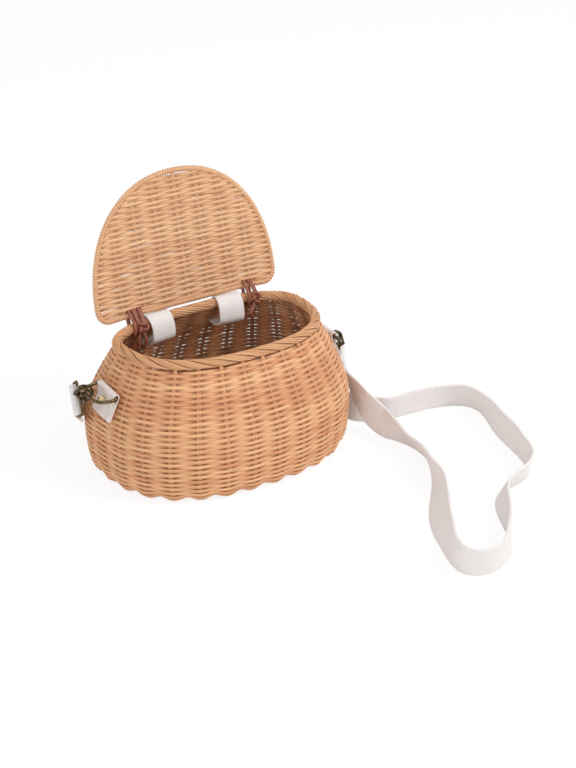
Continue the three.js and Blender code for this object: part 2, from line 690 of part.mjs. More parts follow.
function dRing() {
  return hoop(ringPoints(), RING_WIRE_RADIUS, 2 * LINK_STEPS);
}

// The ring's own frame in its clasp: y runs out along the drooping ring
function ringFrame(droop) {
  const angle = radians(90 + droop);
  const turn = new THREE.Matrix4().makeRotationX(angle);
  return moved(0, BAR_UP, BAR_OUT).multiply(turn);
}

// The hook's frame: z towards its eye, x towards its spine, origin where the ring's wire passes
function hookFrame(clasp, frame, ringMatrix) {
  const angle = radians(clasp.bowAngle);
  const hold = bowPoint(angle).applyMatrix4(ringMatrix);
  const ahead = bowPoint(angle + 0.01).applyMatrix4(ringMatrix);
  const way = new THREE.Vector3(...clasp.hookWay).transformDirection(frame);
  const wire = ahead.sub(hold);
  const flat = wire.addScaledVector(way, -wire.dot(way)).normalize();
  const spine = new THREE.Vector3().crossVectors(flat, way);
  const outward = clasp.spineUp ? spine.z : spine.x * clasp.side;
  if (outward < 0) {
    spine.negate();
    flat.negate();
  }
  return new THREE.Matrix4().makeBasis(spine, flat, way).setPosition(hold);
}

const HOOK_OUTER = HOOK_THROAT_RADIUS + HOOK_BAND;
const HOOK_BASE_FAR = HOOK_THROAT_LENGTH + HOOK_BASE;
const PIVOT_X = -HOOK_THROAT_RADIUS - HOOK_BAND / 2;
const PIVOT_Z = HOOK_THROAT_LENGTH + HOOK_BASE / 2;
const GATE_SLOT = GATE_THICKNESS / 2 + GAP;
const FLIP = new THREE.Matrix4().makeBasis(X, Z, Y.clone().negate());

// The claw and base as one casting: the claw's outline, a slot for the gate, and three bores
function hookBody() {
  const arc = (radius, from, to) => Array.from({ length: CLAW_STEPS + 1 }, (_, i) => {
    const angle = THREE.MathUtils.lerp(from, to, i / CLAW_STEPS);
    return new THREE.Vector2(radius * Math.cos(angle), -radius * Math.sin(angle));
  });
  const outline = [
    new THREE.Vector2(HOOK_OUTER, HOOK_BASE_FAR),
    ...arc(HOOK_OUTER, 0, Math.PI),
    new THREE.Vector2(-HOOK_OUTER, HOOK_TIP),
    new THREE.Vector2(-HOOK_THROAT_RADIUS, HOOK_TIP),
    ...arc(HOOK_THROAT_RADIUS, Math.PI, 0),
    new THREE.Vector2(HOOK_THROAT_RADIUS, HOOK_THROAT_LENGTH),
    new THREE.Vector2(-HOOK_OUTER, HOOK_THROAT_LENGTH),
    new THREE.Vector2(-HOOK_OUTER, HOOK_BASE_FAR),
  ];
  const claw = slab(outline, HOOK_THICKNESS).applyMatrix4(FLIP);
  const slotEnd = -HOOK_THROAT_RADIUS + GAP;
  const slot = block(-HOOK_OUTER - OVERRUN, slotEnd, -GATE_SLOT, GATE_SLOT,
    HOOK_THROAT_LENGTH - OVERRUN, HOOK_BASE_FAR + OVERRUN);
  const pin = pegAlongZ(GATE_PIN_RADIUS + GAP, -HOOK_THICKNESS, HOOK_THICKNESS).rotateX(Math.PI / 2);
  const post = pegAlongZ(POST_RADIUS + GAP, HOOK_THROAT_LENGTH - OVERRUN, HOOK_BASE_FAR + OVERRUN);
  let body = solid(claw).subtract(solid(slot)).subtract(solid(pin, moved(PIVOT_X, 0, PIVOT_Z)));
  body = body.subtract(solid(post));
  return shape(body);
}

function hookGate() {
  const half = HOOK_BAND / 2;
  const low = HOOK_TIP + GAP - PIVOT_Z;
  const high = HOOK_BASE / 2 - GAP;
  const bar = block(-half, half - GAP, -GATE_THICKNESS / 2, GATE_THICKNESS / 2, low, high);
  const bore = pegAlongZ(GATE_PIN_RADIUS + GAP, -HOOK_THICKNESS, HOOK_THICKNESS).rotateX(Math.PI / 2);
  return shape(solid(bar).subtract(solid(bore))).translate(PIVOT_X, 0, PIVOT_Z);
}

function gatePin() {
  const half = HOOK_THICKNESS / 2;
  return pegAlongZ(GATE_PIN_RADIUS, -half, half, WIRE_SIDES).rotateX(Math.PI / 2)
    .translate(PIVOT_X, 0, PIVOT_Z);
}

const EYE_NEAR = HOOK_BASE_FAR + GAP;
const EYE_HALF_WIDTH = STRAP_WIDTH / 2 + GAP;
const EYE_FAR = EYE_NEAR + 2 * EYE_WIRE + EYE_OPENING;
const EYE_BAR = EYE_FAR - EYE_WIRE / 2;

// The strap's eye: a flat frame with the post that turns in the hook's base
function swivelEye() {
  const box = (half, near, far) => [
    new THREE.Vector2(-half, near), new THREE.Vector2(half, near),
    new THREE.Vector2(half, far), new THREE.Vector2(-half, far),
  ];
  const outline = box(EYE_HALF_WIDTH + EYE_WIRE, EYE_NEAR, EYE_FAR);
  const opening = box(EYE_HALF_WIDTH, EYE_NEAR + EYE_WIRE, EYE_FAR - EYE_WIRE);
  const frame = slab(outline, EYE_WIRE, [opening]).applyMatrix4(FLIP);
  const headTop = HOOK_THROAT_LENGTH - GAP;
  const post = pegAlongZ(POST_RADIUS, headTop - POST_HEAD / 2, EYE_NEAR + EYE_WIRE / 2);
  const head = pegAlongZ(POST_HEAD_RADIUS, headTop - POST_HEAD, headTop);
  return shape(solid(frame).add(solid(post)).add(solid(head)));
}

const STRAP_BORE = (EYE_WIRE / 2) * Math.SQRT2 + GAP;
const STRAP_END_FAR = STRAP_BORE + STRAP_END_LENGTH;

// The strap's end: folded round the eye's bar and sewn back on itself
function strapEnd() {
  const thickness = STRAP_THICKNESS / 2;
  const outline = foldOutline(STRAP_BORE, thickness, -thickness - GAP / 2, STRAP_END_FAR);
  const turn = new THREE.Matrix4().makeBasis(Y, Z.clone().negate(), X.clone().negate());
  return slab(outline, STRAP_WIDTH).applyMatrix4(turn);
}

// The strap's free run as a thin band: a rounded section carried along the route without a break
function shoulderStrap(start, end) {
  const rows = [...start, ...STRAP_ROUTE.map((row) => ({
    point: new THREE.Vector3(row[0], row[1], row[2]),
    width: new THREE.Vector3(row[3], row[4], row[5]),
  })), ...end.reverse()];
  const middle = new THREE.CatmullRomCurve3(rows.map((row) => row.point), false, 'centripetal');
  const edge = new THREE.CatmullRomCurve3(rows.map((row) => row.width), false, 'centripetal');
  const half = STRAP_WIDTH / 2;
  const thin = STRAP_THICKNESS / 2;
  const rings = [];
  for (let i = 0; i <= STRAP_STEPS; i += 1) {
    const t = i / STRAP_STEPS;
    const point = middle.getPoint(t);
    const way = middle.getTangent(t);
    const width = edge.getPoint(t);
    width.addScaledVector(way, -width.dot(way)).normalize();
    const face = new THREE.Vector3().crossVectors(way, width);
    const corner = (a, b) => point.clone().addScaledVector(width, a).addScaledVector(face, b);
    rings.push([
      corner(-half, -thin / 2), corner(-half + thin, -thin),
      corner(half - thin, -thin), corner(half, -thin / 2),
      corner(half, thin / 2), corner(half - thin, thin),
      corner(-half + thin, thin), corner(-half, thin / 2),
    ]);
  }
  return cappedLoft(rings);
}

// Rings of points joined from first to last, with a flat cap at each end
function cappedLoft(rings) {
  const count = rings[0].length;
  const positions = rings.flat().flatMap((point) => point.toArray());
  const index = [];
  for (let i = 0; i < rings.length - 1; i += 1) {
    for (let j = 0; j < count; j += 1) {
      const k = (j + 1) % count;
      index.push(i * count + j, i * count + k, (i + 1) * count + k);
      index.push(i * count + j, (i + 1) * count + k, (i + 1) * count + j);
    }
  }
  const last = (rings.length - 1) * count;
  for (let j = 1; j < count - 1; j += 1) {
    index.push(0, j + 1, j);
    index.push(last, last + j, last + j + 1);
  }
  const geometry = new THREE.BufferGeometry();
  geometry.setAttribute('position', new THREE.Float32BufferAttribute(positions, 3));
  geometry.setIndex(index);
  geometry.computeVertexNormals();
  return geometry;
}

function buildBasket(frames) {
  let wall = basketWall();
  LOOP_PLACES.forEach((x) => { wall = wall.subtract(loopSlot(x)); });
  TIE_PLACES.forEach((x) => { wall = wall.subtract(tieNotch(x)); });
  frames.forEach((frame) => { wall = wall.subtract(studHole(frame)); });
  add('basket_base', basketBase(), rattan);
  add('basket_wall', shape(wall), rattan);
  add('rim_border', rimBorder(), rattan);
  ['left', 'right'].forEach((side, i) => {
    add(`rear_loop_${side}`, rearLoop(LOOP_PLACES[i]), webbing);
    add(`hinge_tie_${side}`, hingeTie(TIE_PLACES[i]), lace);
  });
}

function buildLid() {
  const lid = new THREE.Group();
  lid.position.set(0, HINGE_BACK, HINGE_HEIGHT);
  lid.rotation.x = radians(90 - LID_LEAN_DEGREES);
  add('lid_frame', lidFrame(), cane, lid);
  add('lid_weave', lidWeave(), rattan, lid);
  ribPlaces().forEach((x, i) => add(`lid_rib_${i + 1}`, lidRib(x), rattan, lid));
  bag.add(lid);
}

function groupAt(matrix) {
  const group = new THREE.Group();
  matrix.decompose(group.position, group.quaternion, group.scale);
  bag.add(group);
  return group;
}

// One clasp, and the end of the strap's run that it holds
function buildClasp(name, clasp, frame) {
  const onWall = groupAt(frame);
  add(`leather_tab_${name}`, leatherTab(), leather, onWall);
  add(`ball_stud_${name}`, ballStud(), brass, onWall);
  add(`stud_washer_${name}`, washer(), brass, onWall);
  const ringMatrix = frame.clone().multiply(ringFrame(clasp.droop));
  add(`d_ring_${name}`, dRing(), bronze, groupAt(ringMatrix));
  const hookMatrix = hookFrame(clasp, frame, ringMatrix);
  const onHook = groupAt(hookMatrix);
  add(`hook_body_${name}`, hookBody(), bronze, onHook);
  add(`hook_gate_${name}`, hookGate(), bronze, onHook);
  add(`gate_pin_${name}`, gatePin(), bronze, onHook);
  const turn = new THREE.Matrix4().makeRotationZ(radians(clasp.eyeTurn));
  const eyeMatrix = hookMatrix.clone().multiply(turn);
  const onEye = groupAt(eyeMatrix);
  add(`swivel_eye_${name}`, swivelEye(), bronze, onEye);
  const bend = new THREE.Matrix4().makeRotationX(radians(clasp.strapBend));
  const endMatrix = eyeMatrix.clone().multiply(moved(0, 0, EYE_BAR)).multiply(bend);
  add(`strap_end_${name}`, strapEnd(), webbing, groupAt(endMatrix));
  return endMatrix;
}

// The strap's run leaves a clasp straight out of its sewn end
function strapLead(endMatrix, turn) {
  return [0, STRAP_LEAD].map((far) => ({
    point: new THREE.Vector3(0, 0, STRAP_END_FAR + GAP + far).applyMatrix4(endMatrix),
    width: new THREE.Vector3().setFromMatrixColumn(endMatrix, 0).multiplyScalar(turn),
  }));
}

const leftFrame = claspFrame(CLASPS.left);
const rightFrame = claspFrame(CLASPS.right);
buildBasket([leftFrame, rightFrame]);
buildLid();
const leftEnd = buildClasp('left', CLASPS.left, leftFrame);
const rightEnd = buildClasp('right', CLASPS.right, rightFrame);
add('shoulder_strap', shoulderStrap(strapLead(rightEnd, -1), strapLead(leftEnd, 1)), webbing);

export default bag;
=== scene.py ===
# %% [markdown]
# # A rattan crossbody bag
# The bag is a small creel: a swelling basket woven from thin cane, a D-shaped lid that two laces tie to
# the back rim, two webbing loops over that rim, and a flat webbing strap that clips to a ring on each
# side. The solids are packed already, so this lesson only dresses them. Everything is in metres, in the
# same frame: +Z is up, +Y is the back where the lid hangs, and the floor is at zero.

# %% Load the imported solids
import math

import bmesh
import bpy
import numpy as np
from mathutils import Matrix, Vector


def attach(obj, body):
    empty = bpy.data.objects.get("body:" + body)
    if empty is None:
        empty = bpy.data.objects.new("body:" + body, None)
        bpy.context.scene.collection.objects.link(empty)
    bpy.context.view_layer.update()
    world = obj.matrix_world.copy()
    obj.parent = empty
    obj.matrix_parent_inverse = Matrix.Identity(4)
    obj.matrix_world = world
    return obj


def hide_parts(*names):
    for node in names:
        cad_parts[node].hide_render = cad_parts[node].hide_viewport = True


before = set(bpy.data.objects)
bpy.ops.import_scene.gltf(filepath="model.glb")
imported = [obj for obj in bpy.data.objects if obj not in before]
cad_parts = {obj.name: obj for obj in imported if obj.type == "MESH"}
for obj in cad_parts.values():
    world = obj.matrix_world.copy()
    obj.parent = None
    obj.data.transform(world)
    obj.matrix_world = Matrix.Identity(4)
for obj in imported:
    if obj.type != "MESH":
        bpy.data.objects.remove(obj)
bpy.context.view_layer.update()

MM = 0.001

# %% [markdown]
# ## The camera
# A product photograph like this is taken from a little above, with the bag turned to show its front and
# its left end. The view is written as two angles and a distance. A camera could be aimed with a
# constraint, but three axes in a matrix say the same thing and leave nothing to be worked out later.

# %% Camera
AZIMUTH, ELEVATION = math.radians(-34.6), math.radians(26.0)
CAMERA_DISTANCE = 1.422
FRAME_MIDDLE = (0.0592, 0.0498)
LENS = 80.85

back = Vector((math.sin(AZIMUTH) * math.cos(ELEVATION), -math.cos(AZIMUTH) * math.cos(ELEVATION),
               math.sin(ELEVATION)))
right = Vector((math.cos(AZIMUTH), math.sin(AZIMUTH), 0.0))
up = back.cross(right)
camera = bpy.data.objects.new("camera", bpy.data.cameras.new("camera"))
camera.data.lens = LENS
camera.data.sensor_width = 36.0
camera.data.clip_end = 20.0
place = Matrix((right, up, back)).transposed().to_4x4()
place.translation = right * FRAME_MIDDLE[0] + up * FRAME_MIDDLE[1] + back * CAMERA_DISTANCE
camera.matrix_world = place
bpy.context.scene.collection.objects.link(camera)
bpy.context.scene.camera = camera
print("camera at", [round(v, 3) for v in camera.location])


# %% Into the scene
def mesh_from(name, shape):
    """Turns a bmesh into a mesh and lets it go."""
    mesh = bpy.data.meshes.new(name)
    shape.to_mesh(mesh)
    shape.free()
    return mesh


def added(name, data):
    """A new object in the scene."""
    piece = bpy.data.objects.new(name, data)
    bpy.context.scene.collection.objects.link(piece)
    return piece


# %% [markdown]
# ## Smooth lines
# Most of this bag is something thin that follows a line: cane, lace, wire and webbing. A Catmull-Rom curve
# passes through every point that it is given, so a given route stays where it was put. The centripetal kind
# is used, because it makes no loops where points lie close together.

# %% A smooth line through points
def through(points, where):
    """Places on the centripetal curve through the points; where runs from 0 to 1."""
    points = np.asarray(points, float)
    ends = np.vstack([2 * points[0] - points[1], points, 2 * points[-1] - points[-2]])
    x = np.clip(np.asarray(where, float), 0, 1) * (len(points) - 1)
    i = np.minimum(x.astype(int), len(points) - 2)
    u = (x - i)[:, None]
    p = [ends[i + k] for k in range(4)]
    d = [np.maximum(np.linalg.norm(p[k + 1][:, :3] - p[k][:, :3], axis=1) ** 0.5, 1e-4)[:, None]
         for k in range(3)]
    start = ((p[1] - p[0]) / d[0] - (p[2] - p[0]) / (d[0] + d[1]) + (p[2] - p[1]) / d[1]) * d[1]
    end = ((p[2] - p[1]) / d[1] - (p[3] - p[1]) / (d[1] + d[2]) + (p[3] - p[2]) / d[2]) * d[1]
    a = 2 * p[1] - 2 * p[2] + start + end
    b = -3 * p[1] + 3 * p[2] - 2 * start - end
    return p[1] + start * u + b * u ** 2 + a * u ** 3


def run_of(line):
    """How far along a line each of its points lies."""
    return np.r_[0, np.cumsum(np.linalg.norm(np.diff(line[:, :3], axis=0), axis=1))]


def evenly(points, count):
    """The smooth line through the points, cut into equal steps."""
    fine = through(points, np.linspace(0, 1, 40 * len(points)))
    run = run_of(fine)
    steps = np.linspace(0, run[-1], count)
    return np.stack([np.interp(steps, run, fine[:, k]) for k in range(fine.shape[1])], axis=1)


def unit(vectors):
    return vectors / np.linalg.norm(vectors, axis=-1, keepdims=True)


# %% [markdown]
# ## Webbing
# Webbing is a flat band. A grid is the natural start: it already has a length, a width and a UV map,
# and moving its vertices onto the route bends it without tearing the map. Solidify then gives it its
# thickness and a small bevel takes the hardness off the edges, as the woven selvedge does.

# %% A band of webbing along a route
def band(name, points, widths, width, thickness, steps, closed=False, rows=6):
    """points and widths are in millimetres: the middle of the band, and the way its width runs."""
    rows_of = evenly(np.hstack([points, widths]), steps + 1)
    middle, across = rows_of[:, :3], rows_of[:, 3:]
    way = unit(np.gradient(middle, axis=0))
    across = unit(across - way * (across * way).sum(1)[:, None])
    run = run_of(middle)
    shape = bmesh.new()
    bmesh.ops.create_grid(shape, x_segments=steps, y_segments=rows, size=1, calc_uvs=True)
    uv = shape.loops.layers.uv.active or shape.loops.layers.uv.new("UVMap")
    for vertex in shape.verts:
        i = int(round((vertex.co.x + 1) / 2 * steps))
        side = vertex.co.y / 2
        for loop in vertex.link_loops:
            loop[uv].uv = (run[i] * MM, side * width * MM)
        vertex.co = Vector((middle[i] + across[i] * side * width) * MM)
    if closed:
        bmesh.ops.remove_doubles(shape, verts=shape.verts, dist=0.02 * MM)
    bmesh.ops.recalc_face_normals(shape, faces=shape.faces)
    mesh = mesh_from(name, shape)
    mesh.shade_smooth()
    piece = added(name, mesh)
    solidify = piece.modifiers.new("thickness", "SOLIDIFY")
    solidify.thickness, solidify.offset = thickness * MM, 0
    bevel = piece.modifiers.new("selvedge", "BEVEL")
    bevel.width, bevel.segments, bevel.limit_method = 0.3 * thickness * MM, 2, "ANGLE"
    bevel.angle_limit = math.radians(50)
    return piece, middle * MM


# %% [markdown]
# ## The clasps' frames
# Each side of the bag carries a leather tab folded round the bar of a D-ring, and a snap hook hangs in
# the ring. The strap starts and ends in those hooks, so their places are needed first. Each frame is a
# matrix that turns a piece's own coordinates, in millimetres, into the bag's.

# %% The basket's sizes and the clasps' frames
def shrunk(share, power):
    """How far a squared-off ellipse still reaches, at a share of its other half width."""
    return (1 - share ** power) ** (1 / power)


def squared(value, power):
    """A sine or cosine, drawn out for a squared-off ellipse."""
    return np.sign(value) * np.abs(value) ** (2 / power)


BELLY_HEIGHT, RIM_HEIGHT, RIM_RADIUS, WALL = 46.5, 107.8, 4.4, 3.6
BELLY = np.array([110, 90, 73.5])
TOP = np.array([85, 64.8, 38.8])
BASE_INSET = 15
LOW_POWER, HIGH_POWER, PLAN_POWER = 3.09, 1.37, 2.47
WALL_TOP = RIM_HEIGHT - RIM_RADIUS - 0.3


def half_sizes(height):
    """Half widths to the side, the front and the back at some heights."""
    height = np.atleast_1d(np.asarray(height, float))
    left = np.clip(1 - height / BELLY_HEIGHT, 0, 1)
    inset = BASE_INSET * (1 - shrunk(left, LOW_POWER))
    rise = np.clip((height - BELLY_HEIGHT) / (RIM_HEIGHT - BELLY_HEIGHT), 0, 1) ** HIGH_POWER
    return BELLY + (TOP - BELLY) * rise[:, None] - inset[:, None]


TAB_WIDTH, TAB_HEIGHT, TAB_THICKNESS = 27, 24, 1.3
CLASP_HEIGHT, CLASP_FORWARD, GAP = 72, 8, 0.3
RING_WIRE, RING_DEPTH, RING_LEG = 1.4, 17.5, 4
BAR_OUT = 1.5 * GAP + TAB_THICKNESS + RING_WIRE + GAP
BAR_UP = TAB_HEIGHT / 2 - TAB_THICKNESS - RING_WIRE - GAP
RING_HALF = TAB_WIDTH / 2 + GAP + RING_WIRE
EYE_WIRE, EYE_OPENING, EYE_NEAR = 2.2, 4.6, 9.8
EYE_FAR = EYE_NEAR + 2 * EYE_WIRE + EYE_OPENING
STRAP_WIDTH, STRAP_THICKNESS, STRAP_END = 25, 1.8, 7
STRAP_BORE = EYE_WIRE / 2 * math.sqrt(2) + GAP
CLASPS = {
    "left": dict(side=-1, tab_turn=-5, droop=26, hold=125, way=(-0.1528, 0.6944, -0.7032), spine_up=True,
                 eye_turn=60, bend=-37, strap_turn=1),
    "right": dict(side=1, tab_turn=5, droop=65, hold=90, way=(0.2591, -0.0499, -0.9646), spine_up=False,
                  eye_turn=-52, bend=0, strap_turn=-1),
}


def axes(x, y, z, at):
    matrix = Matrix((x, y, z)).transposed().to_4x4()
    matrix.translation = at
    return matrix


def on_wall(side, tab_turn):
    """The tab's frame: x along its width, y up the wall, z out of the wall."""
    low, here, high = [float(half_sizes(CLASP_HEIGHT + step)[0, 0]) for step in (-4.65, 0, 4.65)]
    rise = Vector((side * (high - low), 0, 9.3)).normalized()
    out = Vector((side * rise.z, 0, -side * rise.x))
    front = float(half_sizes(CLASP_HEIGHT)[0, 1])
    reach = here * shrunk(CLASP_FORWARD / front, PLAN_POWER)
    frame_here = axes(rise.cross(out), rise, out, Vector((side * reach, -CLASP_FORWARD, CLASP_HEIGHT)))
    return frame_here @ Matrix.Rotation(math.radians(tab_turn), 4, "Z")


def bow(angle):
    """A point of the D-ring's bow in the ring's own plane."""
    return Vector((RING_HALF * math.cos(angle), RING_LEG + (RING_DEPTH - RING_LEG) * math.sin(angle), 0))


def clasp_frames(side, tab_turn, droop, hold, way, spine_up, eye_turn, bend, strap_turn):
    tab = on_wall(side, tab_turn)
    ring = tab @ Matrix.Translation((0, BAR_UP, BAR_OUT)) @ Matrix.Rotation(math.radians(90 + droop), 4, "X")
    held, ahead = ring @ bow(math.radians(hold)), ring @ bow(math.radians(hold) + 0.01)
    way = Vector(way).normalized()
    flat = (ahead - held) - way * (ahead - held).dot(way)
    flat.normalize()
    spine = flat.cross(way)
    if (spine.z if spine_up else spine.x * side) < 0:
        spine, flat = -spine, -flat
    hook = axes(spine, flat, way, held)
    eye = hook @ Matrix.Rotation(math.radians(eye_turn), 4, "Z")
    bar = Matrix.Translation((0, 0, EYE_FAR - EYE_WIRE / 2))
    end = eye @ bar @ Matrix.Rotation(math.radians(bend), 4, "X")
    return dict(tab=tab, ring=ring, hook=hook, eye=eye, end=end)


FRAMES = {name: clasp_frames(**clasp) for name, clasp in CLASPS.items()}
print("hooks hold the rings at", {k: [round(v, 1) for v in f["hook"].translation] for k, f in FRAMES.items()})

# %% [markdown]
# ## The shoulder strap
# The strap is 25 mm cotton webbing. It leaves the right hook, turns down to the floor, stands on its edge in
# two long loops in front of the bag's right end, and goes round behind the basket to the left hook. Webbing
# doesn't stretch and its width stays square to its run, so the route gives both: the middle of the band and
# the way its width points.

# %% The strap's route in millimetres: middle x, y, z and the direction of its width
STRAP_ROUTE = [
    (122.4, -12.6, 36, -0.6, -0.62, 0.5), (120.3, -18.5, 33.6, -0.38, -0.2, 0.9),
    (117.2, -27, 32.8, -0.25, -0.1, 0.96), (114.6, -45.9, 28.9, -0.05, -0.63, 0.78),
    (116, -51.2, 25.4, 0.08, -0.65, 0.75), (119, -57.4, 18.2, 0.29, -0.59, 0.75),
    (120.4, -61.7, 15.3, 0.22, -0.38, 0.9), (121.7, -67.3, 13.4, 0.14, -0.15, 0.98),
    (122.7, -78.8, 13.2, -0.16, -0.06, 0.98), (123, -85.1, 12.8, -0.3, -0.09, 0.95),
    (123.3, -91, 12.3, -0.4, -0.08, 0.91), (123.2, -96.3, 11.8, -0.48, -0.06, 0.87),
    (122.5, -104.4, 11.3, -0.56, 0.03, 0.83), (120.9, -114.3, 11.3, -0.54, 0.15, 0.83),
    (117.6, -125.6, 11.9, -0.42, 0.21, 0.88), (111.9, -138.3, 12.7, -0.27, 0.19, 0.95),
    (103, -154.3, 13.4, -0.07, 0.06, 1.0), (93.5, -173, 12.6, 0.26, -0.24, 0.93),
    (75.5, -197.2, 11.3, 0.44, -0.34, 0.83), (63.4, -214.6, 11.7, 0.45, -0.23, 0.87),
    (53.4, -232.9, 12.6, 0.32, -0.12, 0.94), (41, -257.5, 13.4, 0.07, -0.02, 1.0),
    (39.1, -266.2, 13.4, -0.03, 0, 1.0), (40.2, -273.3, 13.2, -0.13, -0.08, 0.99),
    (46.4, -280.1, 13.1, -0.1, -0.2, 0.97), (60.6, -281.3, 13.2, 0.02, -0.16, 0.99),
    (72.5, -276, 13.4, 0.01, -0.02, 1.0), (83.3, -268.2, 13.4, -0.04, 0.06, 1.0),
    (99.1, -251.1, 13.4, 0.0, 0.0, 1.0), (109.7, -234.8, 13.2, 0.14, -0.07, 0.99),
    (117.1, -223.2, 13, 0.23, -0.13, 0.97), (126.2, -211.6, 12.6, 0.28, -0.22, 0.93),
    (135.7, -203.9, 12.1, 0.25, -0.36, 0.9), (143.8, -200.3, 11.9, 0.14, -0.45, 0.88),
    (155.9, -197.8, 12.1, 0.05, -0.44, 0.9), (165, -195.1, 12.6, 0.07, -0.33, 0.94),
    (172.8, -190.5, 13.2, 0.09, -0.17, 0.98), (179.7, -182.2, 13.4, 0.03, -0.02, 1.0),
    (186, -169, 13.4, -0.05, 0.02, 1.0), (192.9, -149.6, 13.4, 0.02, 0, 1.0),
    (198.1, -129.4, 13.4, 0.03, -0.01, 1.0), (202.9, -114.3, 13.4, 0.02, -0.01, 1.0),
    (207.7, -100.2, 13.4, -0.08, 0.04, 1.0), (211.7, -86.2, 13.1, -0.21, 0.07, 0.97),
    (212.9, -74.8, 12.7, -0.33, 0.02, 0.95), (211.9, -68.9, 12.6, -0.32, -0.12, 0.94),
    (210.2, -65.5, 12.7, -0.26, -0.2, 0.95), (202, -59.1, 12.7, -0.15, -0.29, 0.95),
    (184.7, -53.3, 12.8, -0.05, -0.3, 0.95), (163.2, -50.5, 13, -0.02, -0.26, 0.97),
    (139.2, -48, 12.9, -0.07, -0.28, 0.96), (131.5, -42.3, 12.9, -0.09, -0.2, 0.98),
    (125, -38.6, 13.2, -0.06, -0.1, 0.99), (119.6, -32.5, 13.3, 0.0, 0.0, 1.0),
    (116, -24, 13.3, 0.0, 0.0, 1.0), (114.3, -12, 13.3, 0.0, 0.0, 1.0),
    (114.8, 4, 13.3, 0.0, 0.0, 1.0), (114, 22, 13.3, 0.0, 0.0, 1.0),
    (109, 44, 13.3, 0.0, 0.0, 1.0), (97, 66, 13.3, 0.0, 0.0, 1.0),
    (76, 85, 13.3, 0.0, 0.0, 1.0), (44, 98, 13.3, 0.0, 0.0, 1.0),
    (8, 103, 13.4, 0.0, 0.0, 1.0), (-28, 101.5, 15.5, 0.0, 0.02, 1.0),
    (-55, 92.5, 22, 0.02, 0.1, 0.99), (-74, 78.5, 30.5, 0.08, 0.2, 0.97),
    (-85.5, 64, 38.5, 0.14, 0.3, 0.94), (-92.6, 54.2, 44.7, 0.2, 0.34, 0.92),
    (-100.2, 43.1, 50.8, 0.23, 0.38, 0.9), (-107.2, 32, 55.6, 0.24, 0.5, 0.83),
]


def strap_lead(side):
    """The strap leaves a clasp straight out of its sewn end."""
    end, turn = FRAMES[side]["end"], CLASPS[side]["strap_turn"]
    width = end.to_3x3() @ Vector((turn, 0, 0))
    far = STRAP_BORE + STRAP_END + GAP
    return [(*(end @ Vector((0, 0, far + step))), *width) for step in (0, 4)]


strap_rows = np.array(strap_lead("right") + STRAP_ROUTE + strap_lead("left")[::-1])
shoulder_strap, strap_line = band("shoulder_strap_webbing", strap_rows[:, :3], strap_rows[:, 3:],
                                  STRAP_WIDTH, STRAP_THICKNESS, 480)
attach(shoulder_strap, "bag")
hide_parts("shoulder_strap")

# %% [markdown]
# ## Cane
# Every strand of the basket is a round rod of cane. Sweeping a circle along a line is what a curve with
# a bevel does, and one curve can hold a hundred lines, so each group of strands is drawn that way and
# then made a mesh. The mesh keeps what the material needs: a tone for each strand, how deep in the weave
# each place lies, and a vector that runs along the fibres. Cane is flattened a little where it is packed
# into rows, so a strand can be pressed along the way that its wall faces.

# %% Rods that follow lines
def wander(x, seed, pace=1.0):
    """A smooth irregular value from about -1 to 1, the same on every run."""
    draw = np.random.default_rng(seed)
    turns, starts = draw.uniform(0.25, 1.6, 6) * pace, draw.uniform(0, 2 * np.pi, 6)
    return sum(np.sin(x * t + s) for t, s in zip(turns, starts)) / 3.2


def rods(name, lines, radius, closed=False, sides=8, press=None, deep=None, seed=1):
    """lines are in millimetres. press is (share kept, one array of facing directions per line)."""
    drawn = bpy.data.curves.new(name, "CURVE")
    drawn.dimensions, drawn.bevel_depth, drawn.bevel_resolution = "3D", radius * MM, (sides - 4) // 2
    drawn.use_fill_caps = False
    for line in lines:
        spline = drawn.splines.new("POLY")
        spline.points.add(len(line) - 1)
        spline.points.foreach_set("co", np.c_[line * MM, np.ones(len(line))].astype(np.float32).ravel())
        spline.use_cyclic_u = closed
    holder = bpy.data.objects.new(name + "_line", drawn)
    mesh = bpy.data.meshes.new_from_object(holder)
    mesh.name = name
    middles = np.repeat(np.concatenate(lines) * MM, sides, axis=0)
    spots = np.empty(3 * len(mesh.vertices))
    mesh.vertices.foreach_get("co", spots)
    spots = spots.reshape(-1, 3)
    if press is not None:
        facing = np.repeat(np.concatenate(press[1]), sides, axis=0)
        out = ((spots - middles) * facing).sum(1)[:, None]
        spots = spots - facing * out * (1 - press[0])
        mesh.vertices.foreach_set("co", spots.ravel())
    draw = np.random.default_rng(seed)
    tones = draw.uniform(0, 1, len(lines))
    starts = draw.uniform(0, 50, len(lines))
    around = np.tile(np.linspace(0, 2 * np.pi, sides, endpoint=False), len(spots) // sides)
    run = np.concatenate([run_of(line) * MM + start for line, start in zip(lines, starts)])
    fibre = np.c_[np.repeat(run, sides), np.cos(around), np.sin(around)]
    tone = np.repeat(np.concatenate([np.full(len(line), t) for line, t in zip(lines, tones)]), sides)
    # how deep in the weave each place lies, from which the cane's material paints shade
    depth = np.zeros(len(spots)) if deep is None else np.repeat(np.concatenate(deep), sides)
    for label, kind, values in (("tone", "FLOAT", tone), ("depth", "FLOAT", depth),
                                ("fibre", "FLOAT_VECTOR", fibre)):
        layer = mesh.attributes.new(label, kind, "POINT")
        layer.data.foreach_set("vector" if kind == "FLOAT_VECTOR" else "value", values.ravel())
    if not closed:
        ends = bmesh.new()
        ends.from_mesh(mesh)
        bmesh.ops.holes_fill(ends, edges=[edge for edge in ends.edges if edge.is_boundary], sides=0)
        ends.to_mesh(mesh)
        ends.free()
    mesh.shade_smooth()
    bpy.data.objects.remove(holder)
    bpy.data.curves.remove(drawn)
    piece = added(name, mesh)
    print(name, "strands", len(lines), "triangles", sum(len(f.vertices) - 2 for f in mesh.polygons))
    return piece


